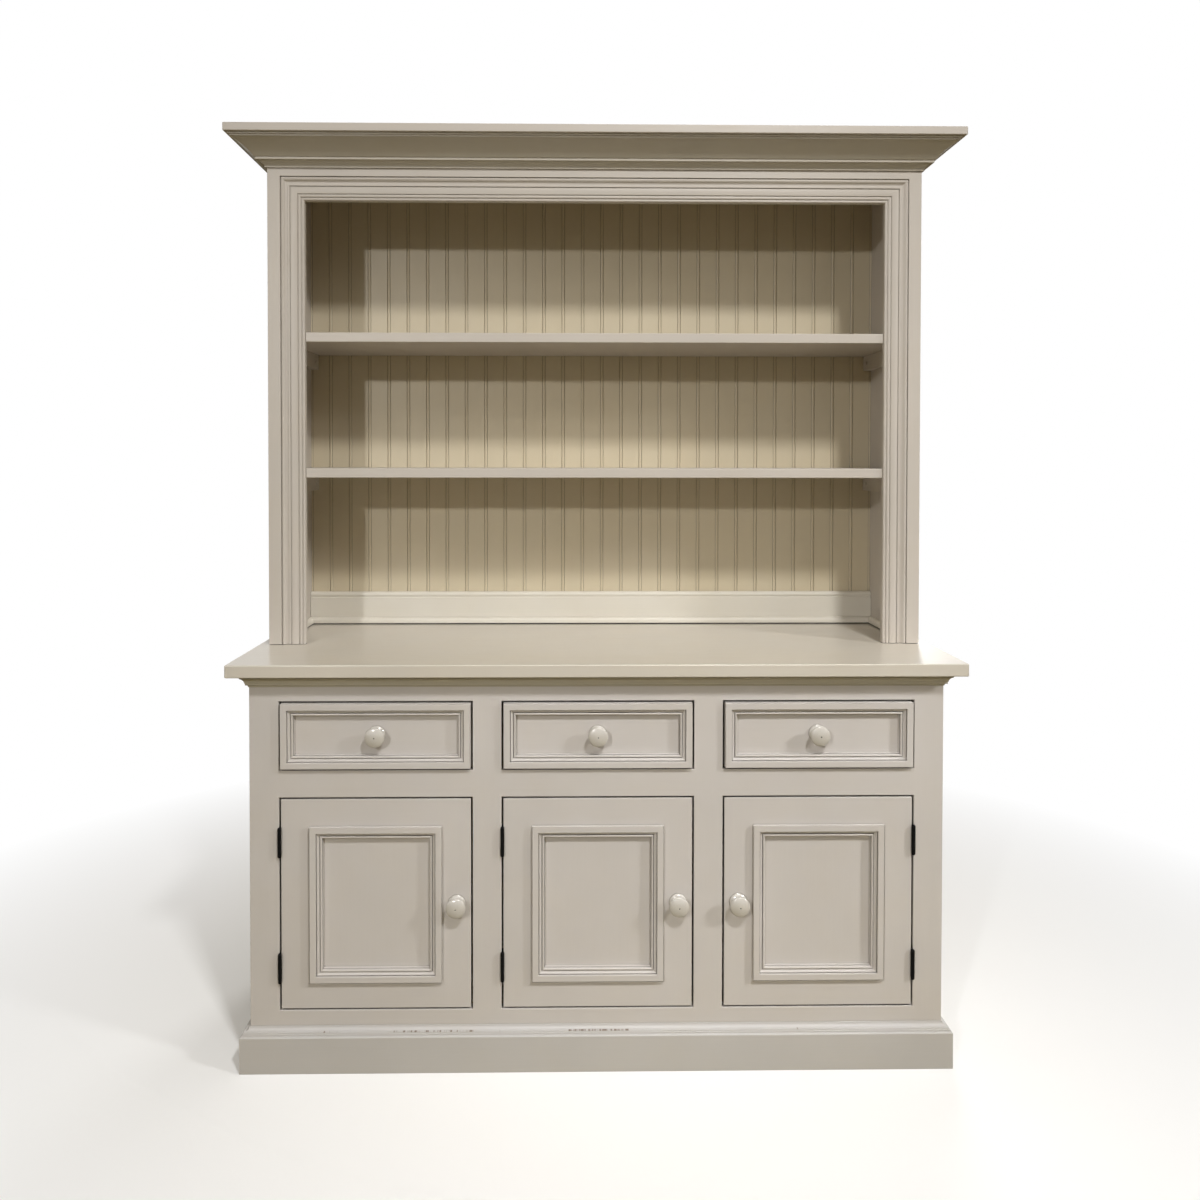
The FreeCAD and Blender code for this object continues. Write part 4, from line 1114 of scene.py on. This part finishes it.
@dataclass(frozen=True)
class HingeScrews:
    """The slotted heads of the three screws in each hinge leaf.

    Attributes:
        radius: The radius of a head.
        proud: How far a head stands out of its leaf.
        slot: The width of the slot.
        spread: How far the outer screws are from the middle one.
        stagger: How far the middle screw is set back from the line of the others.
        leaf: Half the length of a leaf.
        play: How far a leaf's face is from the pin's line.
        pin_out: How far the pin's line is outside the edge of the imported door.
        depth: How far behind the frame's face the screws are.
        arris: How far a head's edges are rounded.
        steps: How many flats go round a head.
    """

    radius: float = 3.0 * MM
    proud: float = 0.06 * MM
    slot: float = 0.8 * MM
    spread: float = 19 * MM
    stagger: float = 3 * MM
    leaf: float = 29 * MM
    play: float = 0.1 * MM
    pin_out: float = 1 * MM
    depth: float = 8 * MM
    arris: float = 0.02 * MM
    steps: int = 28

    def build_head(self) -> Object:
        """Model one head: a flat disc in two halves, with the slot between them."""
        bpy.ops.object.select_all(action="DESELECT")
        bpy.ops.mesh.primitive_cylinder_add(
            vertices=self.steps, radius=self.radius, depth=2 * self.proud,
            location=(0.0, 0.0, 0.0), rotation=(0.0, QUARTER_TURN, 0.0),
        )
        head = settle(bpy.context.object, "screw_head")
        cut_off(head, Vector((0.0, 0.0, self.slot / 2)), Vector((0.0, 0.0, -1.0)))
        with editing(head):
            bpy.ops.mesh.duplicate()
            bpy.ops.transform.rotate(
                value=math.pi, orient_axis="X", center_override=(0.0, 0.0, 0.0)
            )
        outward(head)
        ease(head, self.arris)
        return head

    def places(self, door: "Door", on_door: bool) -> list[Vector]:
        """Where the heads of one door's hinges are.

        Args:
            door: The door.
            on_door: The heads in the door's own leaves, or else those in the frame's.

        Returns:
            The middle of each head.
        """
        frame_box = Rect.of_node(f"{door.body}_frame")
        leaves = Rect.of_node(f"{door.body}_hinge_leaves")
        edge = frame_box.left if door.hung is Side.LEFT else frame_box.right
        pin = edge + door.hung.value * self.pin_out
        x = pin + door.hung.value * self.play * (-1 if on_door else 1)
        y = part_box("frame_stiles")[0].y + self.depth
        spots: list[Vector] = []
        for middle in (leaves.foot + self.leaf, leaves.top - self.leaf):
            for step in (-1, 0, 1):
                back = 0.0 if step else self.stagger
                spots.append(Vector((x, y + back, middle + step * self.spread)))
        return spots

    def build(self, name: str, body: str, spots: list[Vector]) -> Object:
        """Copy one head to every place, each slot turned its own way.

        Args:
            name: The group's name.
            body: The body that it rides on.
            spots: The middle of each head.

        Returns:
            The heads as one piece.
        """
        pattern = self.build_head()
        copies: list[Object] = []
        for number, spot in enumerate(spots):
            head = pattern.copy()
            head.data = pattern.data.copy()
            bpy.context.scene.collection.objects.link(head)
            pick(head)
            with editing(head):
                bpy.ops.transform.rotate(
                    value=SLOT_TURNS[number % len(SLOT_TURNS)], orient_axis="X",
                    center_override=(0.0, 0.0, 0.0),
                )
                bpy.ops.transform.translate(value=spot)
            copies.append(head)
        bpy.data.objects.remove(pattern)
        pick(copies[0])
        for head in copies[1:]:
            head.select_set(True)
        bpy.ops.object.join()
        return dress(settle(copies[0], name), STEEL, body, Axis.Z)


# Sub-assemblies

@dataclass
class Door:
    """One panelled door with its moulding, knob and hinge leaves.

    Attributes:
        bay: The bay that it closes.
        hung: The edge that it hangs on.
        stile: The width of its stiles.
        rail: The height of its rails.
        thick: Its thickness.
        arris: How far its frame's edges are rounded.
        lap: How far the moulding laps the frame.
    """

    bay: Bay
    hung: Side
    stile: float = 70 * MM
    rail: float = 66 * MM
    thick: float = 20 * MM
    arris: float = 1.0 * MM
    lap: float = 8 * MM

    @property
    def body(self) -> str:
        """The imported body's name."""
        return f"door_{self.bay.value}"

    def build_frame(self) -> Object:
        """Model and paint the door's own stiles and rails."""
        out = Rect.of_node(f"{self.body}_frame").grown(-PLAY)
        hole = Rect(
            out.left + self.stile, out.right - self.stile, out.foot + self.rail, out.top - self.rail
        )
        rails = (
            Rect(hole.left, hole.right, out.foot, hole.foot),
            Rect(hole.left, hole.right, hole.top, out.top),
        )
        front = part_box(f"{self.body}_frame")[0].y
        shape = FlatFrame(
            f"{self.body}_frame_dressed", out, (hole,), front, self.thick, self.arris, rails
        )
        piece = shape.build()
        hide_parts(f"{self.body}_frame")
        return shape.paint(piece, CASE_PAINT, self.body)

    def build(self) -> list[Object]:
        """Build the whole door."""
        pieces = [self.build_frame()]
        pieces.append(Softened(f"{self.body}_panel", CASE_PAINT, 0.3 * MM, Axis.Z).build(self.body))
        node = f"{self.body}_moulding"
        pieces.append(panel_moulding(node, Rect.of_node(node), self.lap))
        pieces.append(Softened(f"{self.body}_hinge_leaves", IRON, 0.2 * MM).build(self.body))
        pieces.append(Knob().mount(self.body, f"{self.body}_frame"))
        return pieces


@dataclass
class Drawer:
    """One drawer with its field, moulding, knob and pine box.

    Attributes:
        bay: The bay that it runs in.
        arris: How far the box's edges are rounded.
    """

    bay: Bay
    arris: float = 0.7 * MM

    @property
    def body(self) -> str:
        """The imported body's name."""
        return f"drawer_{self.bay.value}"

    def build_moulding(self) -> Object:
        """Model the moulding that frames the field."""
        node = f"{self.body}_moulding"
        return panel_moulding(node, Rect.of_node(node).grown(-PLAY), 0.0)

    def build(self) -> list[Object]:
        """Build the whole drawer."""
        return [
            Softened(f"{self.body}_front", CASE_PAINT, 0.4 * MM, Axis.X).build(self.body),
            self.build_moulding(),
            Softened(f"{self.body}_box", PINE, self.arris).build(self.body),
            Softened(f"{self.body}_bottom", PLY, 0.2 * MM, Axis.X).build(self.body),
            Knob().mount(self.body, f"{self.body}_front"),
        ]


BACKWARDS = Vector((0.0, 1.0, 0.0))
# The ring of a trim without a rear side reaches this many times the back's distance
PAST_BACK = 3
PLINTH_SECTION: Profile = (
    (0.0, 0.0), (1.0, 0.0), (1.0, 0.808), (0.959, 0.827, 0.86, 0.835), (0.74, 0.839),
    (0.74, 0.873), (0.66, 0.877), (0.66, 0.902), (0.56, 0.906), (0.24, 0.931, 0.10, 1.0),
    (0.0, 1.0),
)
BED_SECTION: Profile = (
    (0.0, 0.0), (0.09, 0.0), (0.15, 0.13, 0.34, 0.18), (0.39, 0.18), (0.39, 0.34), (0.45, 0.34),
    (0.60, 0.58, 0.93, 0.74), (0.93, 0.81), (1.0, 0.81), (1.0, 1.0), (0.0, 1.0),
)
SHOE_SECTION: Profile = ((0.0, 0.0), (1.0, 0.0), (1.0, 0.25), (0.84, 0.74, 0.30, 1.0), (0.0, 1.0))
ARCHITRAVE_SECTION: Profile = (
    (0.0, 0.62), (0.035, 0.60), (0.035, 0.78), (0.085, 0.97, 0.14, 0.80), (0.155, 0.78),
    (0.215, 0.42, 0.32, 0.36), (0.32, 0.74), (0.395, 0.72), (0.395, 0.44), (0.435, 0.44),
    (0.435, 0.62), (0.565, 0.68, 0.70, 0.55), (0.715, 0.52), (0.715, 0.30), (0.75, 0.30),
    (0.75, 0.40), (0.805, 0.56, 0.865, 0.40), (0.865, 0.22), (0.90, 0.22), (0.90, 0.30),
    (0.945, 0.45, 0.985, 0.33), (1.0, 0.24), (1.0, 0.0), (0.0, 0.0),
)
CROWN_SECTION: Profile = (
    (0.0, 0.0), (0.07, 0.0), (0.07, 0.06), (0.13, 0.16, 0.27, 0.235), (0.315, 0.235),
    (0.315, 0.33), (0.35, 0.335), (0.62, 0.655, 0.945, 0.87), (0.955, 0.87), (0.955, 0.935),
    (1.0, 0.935), (1.0, 1.0), (0.0, 1.0),
)


@dataclass
class BaseCase:
    """The fixed part of the base: face frame, plinth, boards and counter.

    Attributes:
        body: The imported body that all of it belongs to.
        reveal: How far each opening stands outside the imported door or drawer.
        stile: The width of the outer stiles.
        thick: The face frame's thickness.
        arris: How far the face frame's edges are rounded.
        bottom_rail_foot: The height at which the bottom rail starts.
        plinth_thick: How far the plinth stands out of the case.
        bed_reach: How far the moulding under the counter stands out of the case.
    """

    body: str = "cupboard"
    reveal: float = 3.0 * MM
    stile: float = 63.5 * MM
    thick: float = 20 * MM
    arris: float = 1.0 * MM
    bottom_rail_foot: float = 37 * MM
    plinth_thick: float = 18 * MM
    bed_reach: float = 16.5 * MM

    def build_face_frame(self) -> Object:
        """Model and paint the stiles, muntins and rails as one frame."""
        out = Rect.of_node("frame_stiles")
        doors = [Rect.of_node(f"door_{bay.value}_frame").grown(self.reveal) for bay in Bay]
        drawers = [Rect.of_node(f"drawer_{bay.value}_front").grown(self.reveal) for bay in Bay]
        inner_left, inner_right = out.left + self.stile, out.right - self.stile
        toe = Rect(inner_left, inner_right, out.foot, self.bottom_rail_foot)
        rails = (
            Rect(inner_left, inner_right, drawers[0].top, out.top),
            Rect(inner_left, inner_right, self.bottom_rail_foot, doors[0].foot),
            *(
                Rect(door.left, door.right, door.top, drawer.foot)
                for door, drawer in zip(doors, drawers)
            ),
        )
        shape = FlatFrame(
            "face_frame_dressed", out, (*doors, *drawers, toe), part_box("frame_stiles")[0].y,
            self.thick, self.arris, rails,
        )
        piece = shape.build()
        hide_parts("frame_stiles", "frame_muntins", "frame_rails")
        return shape.paint(piece, CASE_PAINT, self.body)

    def boards(self) -> list[Softened]:
        """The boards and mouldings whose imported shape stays."""
        return [
            Softened("base_sides", CASE_PAINT, 0.8 * MM, Axis.Z),
            Softened("base_bottom", PINE, 0.5 * MM),
            Softened("base_back", PLY, 0.3 * MM, Axis.Z),
            Softened("base_partitions", PINE, 0.6 * MM, Axis.Z),
            Softened("base_stretchers", PINE, 0.6 * MM),
            Softened("base_shelves", PINE, 0.4 * MM, Axis.X),
            Softened("base_cleats", PINE, 0.7 * MM),
            Softened("drawer_decks", PINE, 0.5 * MM, Axis.X),
            Softened("drawer_guides", PINE, 0.6 * MM),
            Softened("door_stops", PINE, 0.8 * MM, Axis.X),
            Softened("hinge_frame_leaves", IRON, 0.2 * MM),
            Softened("hinge_pins", IRON, 0.0),
            Softened("counter_top", COUNTER_PAINT, 0.0, Axis.X, 30.0),
        ]

    def trims(self) -> list[Object]:
        """Model the plinth and the bed moulding under the counter."""
        case = Rect.of_node("frame_stiles")
        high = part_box("plinth")[1]
        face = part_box("frame_stiles")[0].y
        rear = (Vector((0.0, high.y, 0.0)), BACKWARDS)
        corners = ((case.left, face), (case.right, PAST_BACK * high.y))
        plinth = trim_ring(
            "plinth", PLINTH_SECTION, (-self.plinth_thick, high.z), *corners, 0.0, Axis.Z,
            PLINTH_PAINT, rear, 0.4 * MM,
        )
        foot, top = (corner.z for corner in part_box("counter_moulding"))
        moulding = trim_ring(
            "counter_moulding", BED_SECTION, (-self.bed_reach, top - foot), *corners, foot,
            Axis.Z, BED_SHADE_PAINT, rear,
        )
        return [plinth, moulding]

    def build(self) -> list[Object]:
        """Build the fixed part of the base."""
        boards = [board.build(self.body) for board in self.boards()]
        return [self.build_face_frame(), *boards, *self.trims()]


@dataclass
class Hutch:
    """The open upper part, with its shelves, back, surround and cornice.

    Attributes:
        body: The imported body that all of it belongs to.
        foot_gap: The thin joint between the hutch and the counter.
        arris: How far the face frame's edges are rounded.
        architrave: The width of the moulding round the opening.
        architrave_rise: How far that moulding stands out of its seat.
        crown_reach: How far the cornice stands out of the face frame.
        shoe_width: The width of the small moulding along the foot of the inside.
    """

    body: str = "cupboard"
    foot_gap: float = 0.9 * MM
    arris: float = 0.7 * MM
    architrave: float = 54 * MM
    architrave_rise: float = 9 * MM
    crown_reach: float = 65 * MM
    shoe_width: float = 11 * MM

    def boards(self) -> list[Softened]:
        """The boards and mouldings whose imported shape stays."""
        return [
            Softened("hutch_sides", HUTCH_PAINT, 0.8 * MM, Axis.Z),
            Softened("hutch_top", HUTCH_PAINT, 0.5 * MM),
            Softened("hutch_back", BACK_PAINT, 0.0, Axis.Z, 30.0),
            Softened("hutch_skirting", TRIM_PAINT, 0.3 * MM),
            Softened("hutch_shelves", HUTCH_PAINT, 0.4 * MM, Axis.X),
            Softened("hutch_cleats", HUTCH_PAINT, 0.6 * MM),
            Softened("cleat_screws", STEEL, 0.08 * MM),
            Softened("cornice_cap", HUTCH_PAINT, 0.0, Axis.X, 30.0),
        ]

    def build_face_frame(self) -> Object:
        """Model the stiles and head as two layers, the rear one reaching behind the architrave."""
        low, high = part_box("hutch_face_frame")
        rim = Rect.of_node("architrave")
        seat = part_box("architrave")[1].y
        out = Rect(low.x, high.x, low.z + self.foot_gap, high.z)
        wide = Rect(rim.left, rim.right, low.z - self.architrave, rim.top)
        open_top = rim.top - self.architrave
        narrow = Rect(
            rim.left + self.architrave, rim.right - self.architrave, wide.foot, open_top
        )
        layers = [
            FlatFrame(
                f"hutch_face_frame_{place}", out, (hole,), front, thick, self.arris,
                (Rect(hole.left, hole.right, hole.top, out.top),),
            )
            for place, hole, front, thick in (
                ("dressed", wide, low.y, seat - low.y),
                ("rear", narrow, seat, high.y - seat),
            )
        ]
        piece, rear = [layer.build() for layer in layers]
        pick(piece)
        rear.select_set(True)
        bpy.ops.object.join()
        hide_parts("hutch_face_frame")
        return layers[0].paint(piece, HUTCH_PAINT, self.body)

    def trims(self) -> list[Object]:
        """Model the architrave, the cornice and the shoe moulding."""
        low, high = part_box("architrave")
        foot = Vector((0.0, 0.0, low.z + self.foot_gap))
        around = trim_ring(
            "architrave", ARCHITRAVE_SECTION, (self.architrave, self.architrave_rise),
            (low.x, 0.0), (high.x, high.z), high.y, Axis.Y, HUTCH_PAINT,
            (foot, Vector((0.0, 0.0, -1.0))), 0.2 * MM,
        )
        left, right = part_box("hutch_face_frame")
        low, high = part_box("cornice")
        cornice = trim_ring(
            "cornice", CROWN_SECTION, (-self.crown_reach, high.z - low.z), (left.x, left.y),
            (right.x, PAST_BACK * high.y), low.z, Axis.Z, CROWN_SHADE_PAINT,
            (Vector((0.0, high.y, 0.0)), BACKWARDS),
        )
        low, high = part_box("hutch_shoe")
        inner = trim_ring(
            "hutch_shoe", SHOE_SECTION, (self.shoe_width, high.z - low.z), (low.x, -high.y),
            (high.x, high.y), low.z, Axis.Z, TRIM_PAINT,
            (Vector((0.0, low.y, 0.0)), -BACKWARDS), 0.25 * MM,
        )
        return [around, cornice, inner]

    def build(self) -> list[Object]:
        """Build the whole hutch."""
        boards = [board.build(self.body) for board in self.boards()]
        return [self.build_face_frame(), *boards, *self.trims()]


# The room

@dataclass(frozen=True)
class SoftLight:
    """A square soft light aimed at a point.

    Attributes:
        name: Its name.
        place: Where it stands.
        aim: What it points at.
        size: Its side.
        watts: Its power.
        spread: How widely it shines, in degrees.
    """

    name: str
    place: Point
    aim: Point
    size: float
    watts: float
    spread: float = 80.0

    def build(self) -> Object:
        """Hang the light."""
        bpy.ops.object.light_add(type="AREA", location=self.place)
        lamp = bpy.context.object
        lamp.name = self.name
        way = Vector(self.aim) - Vector(self.place)
        lamp.rotation_euler = way.to_track_quat("-Z", "Y").to_euler()
        lamp.data.shape = "SQUARE"
        lamp.data.size = self.size
        lamp.data.energy = self.watts
        lamp.data.spread = math.radians(self.spread)
        return lamp


@dataclass
class Studio:
    """A pale floor, plain soft lights, a white surround and the camera.

    Attributes:
        eye: Where the camera stands.
        yaw: How far it turns to the left, in degrees.
        pitch: How far it tips up, in degrees.
        roll: How far it leans, in degrees.
        lens: Its focal length for a 36 mm frame, in millimetres.
        shift: How far the frame is shifted, right and up, as shares of its width.
        ambient: How much light comes evenly from all round.
        ambient_colour: The colour of that light.
        floor_seen: The floor's colour as the camera sees it.
        floor_thrown: The floor's colour as it lights the cupboard.
        floor_size: The side of the floor.
        floor_drop: How far the floor lies under the cupboard's foot.
        lights: The soft lights.
    """

    eye: Point = (-0.0697, -1.9937, 1.3004)
    yaw: float = -0.731
    pitch: float = -0.85
    roll: float = -0.051
    lens: float = 25.245
    shift: Pair = (0.0197, -0.105)
    ambient: float = 0.18
    ambient_colour: Colour = (1.0, 0.80, 0.45)
    floor_seen: Colour = (0.93, 0.93, 0.93)
    floor_thrown: Colour = (0.36, 0.31, 0.19)
    floor_size: float = 40.0
    floor_drop: float = 0.3 * MM
    lights: tuple[SoftLight, ...] = (
        SoftLight("left", (-1.9, -4.1, 2.65), (0.0, -0.3, 0.4), 0.16, 12.6),
        SoftLight("low_right", (3.7, -1.8, 2.65), (0.4, -0.2, 0.35), 0.4, 5.5, 45.0),
        SoftLight("high", (0.95, -2.6, 3.9), (0.0, -0.3, 0.5), 0.34, 29.0, 100.0),
        SoftLight("overhead", (0.0, -0.9, 3.6), (0.0, -0.1, 0.0), 1.2, 5.0, 180.0),
        SoftLight("rear", (1.6, 4.2, 2.6), (0.0, 0.2, 0.9), 1.6, 16.0, 70.0),
    )

    def build_camera(self) -> Object:
        """Stand the camera where the photograph was taken from."""
        turn = (
            Matrix.Rotation(math.radians(self.yaw), 4, "Z")
            @ Matrix.Rotation(math.radians(self.pitch), 4, "X")
            @ Matrix.Rotation(math.radians(self.roll), 4, "Y")
            @ Matrix.Rotation(QUARTER_TURN, 4, "X")
        )
        bpy.ops.object.camera_add(location=self.eye, rotation=turn.to_euler())
        camera = bpy.context.object
        camera.name = "camera"
        camera.data.sensor_width = 36.0
        camera.data.lens = self.lens
        camera.data.shift_x, camera.data.shift_y = self.shift
        camera.data.clip_end = 60.0
        bpy.context.scene.camera = camera
        return camera

    def build_floor(self) -> Object:
        """Lay a pale floor that takes the shadow near the cupboard and is white further off."""
        size = (self.floor_size, self.floor_size)
        floor = flat_sheet("floor", size, (0.0, 0.0, -self.floor_drop))
        sheet = NodeSheet("pale_floor")
        near = sheet.add("ShaderNodeTexGradient", gradient_type="SPHERICAL")
        sheet.links.new(sheet.place((0.45, 0.55, 1.0)), near.inputs["Vector"])
        seen = sheet.add("ShaderNodeLightPath").outputs["Is Camera Ray"]
        tones = [(0.0, self.floor_thrown), (1.0, self.floor_seen)]
        sheet.set("Base Color", sheet.ramp(seen, tones))
        sheet.set("Roughness", 0.9)
        glow = sheet.add("ShaderNodeEmission")
        far = sheet.span(near.outputs["Fac"], (0.0, 0.75), (1.0, 0.0))
        mix = sheet.add("ShaderNodeMixShader")
        sheet.links.new(sheet.maths("MULTIPLY", far, seen), mix.inputs[0])
        sheet.links.new(sheet.shader.outputs["BSDF"], mix.inputs[1])
        sheet.links.new(glow.outputs["Emission"], mix.inputs[2])
        sheet.links.new(mix.outputs["Shader"], sheet.output.inputs["Surface"])
        floor.data.materials.append(sheet.material)
        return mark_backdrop(floor)

    def build_surround(self) -> None:
        """Light evenly from all round, and show white to the camera and in reflections."""
        world = bpy.data.worlds.new("surround")
        bpy.context.scene.world = world
        world.use_nodes = True
        nodes, links = world.node_tree.nodes, world.node_tree.links
        nodes.clear()
        ray = nodes.new("ShaderNodeLightPath")
        seen = ray.outputs["Is Camera Ray"]
        for kind in ("Is Glossy Ray", "Is Transmission Ray"):
            either = nodes.new("ShaderNodeMath")
            either.operation = "MAXIMUM"
            links.new(seen, either.inputs[0])
            links.new(ray.outputs[kind], either.inputs[1])
            seen = either.outputs[0]
        mix = nodes.new("ShaderNodeMixShader")
        links.new(seen, mix.inputs[0])
        layers = ((self.ambient, self.ambient_colour), (1.0, (1.0, 1.0, 1.0)))
        for number, (strength, colour) in enumerate(layers, start=1):
            layer = nodes.new("ShaderNodeBackground")
            layer.inputs["Strength"].default_value = strength
            layer.inputs["Color"].default_value = (*colour, 1.0)
            links.new(layer.outputs[0], mix.inputs[number])
        output = nodes.new("ShaderNodeOutputWorld")
        links.new(mix.outputs[0], output.inputs["Surface"])

    def build(self) -> None:
        """Set up the whole room."""
        self.build_floor()
        self.build_surround()
        for light in self.lights:
            light.build()
        self.build_camera()
        bpy.context.scene.view_settings.view_transform = "Standard"


@dataclass
class Cupboard:
    """The whole cupboard, built from its sub-assemblies."""

    base: BaseCase = field(default_factory=BaseCase)
    hutch: Hutch = field(default_factory=Hutch)
    doors: tuple[Door, ...] = (
        Door(Bay.LEFT, Side.LEFT),
        Door(Bay.MIDDLE, Side.LEFT),
        Door(Bay.RIGHT, Side.RIGHT),
    )
    drawers: tuple[Drawer, ...] = tuple(Drawer(bay) for bay in Bay)

    def build(self) -> list[Object]:
        """Build every piece, from the floor up."""
        pieces = self.base.build()
        screws = HingeScrews()
        in_frame: list[Vector] = []
        for door in self.doors:
            pieces += door.build()
            name = f"{door.body}_hinge_screws"
            pieces.append(screws.build(name, door.body, screws.places(door, True)))
            in_frame += screws.places(door, False)
        pieces.append(screws.build("frame_hinge_screws", self.base.body, in_frame))
        for drawer in self.drawers:
            pieces += drawer.build()
        return pieces + self.hutch.build()


def main() -> None:
    """Build the cupboard and its room, and report what was built."""
    logging.basicConfig(level=logging.INFO, format="%(message)s")
    pieces = Cupboard().build()
    Studio().build()
    log.info("%d pieces", len(pieces))


if __name__ == "__main__":
    main()
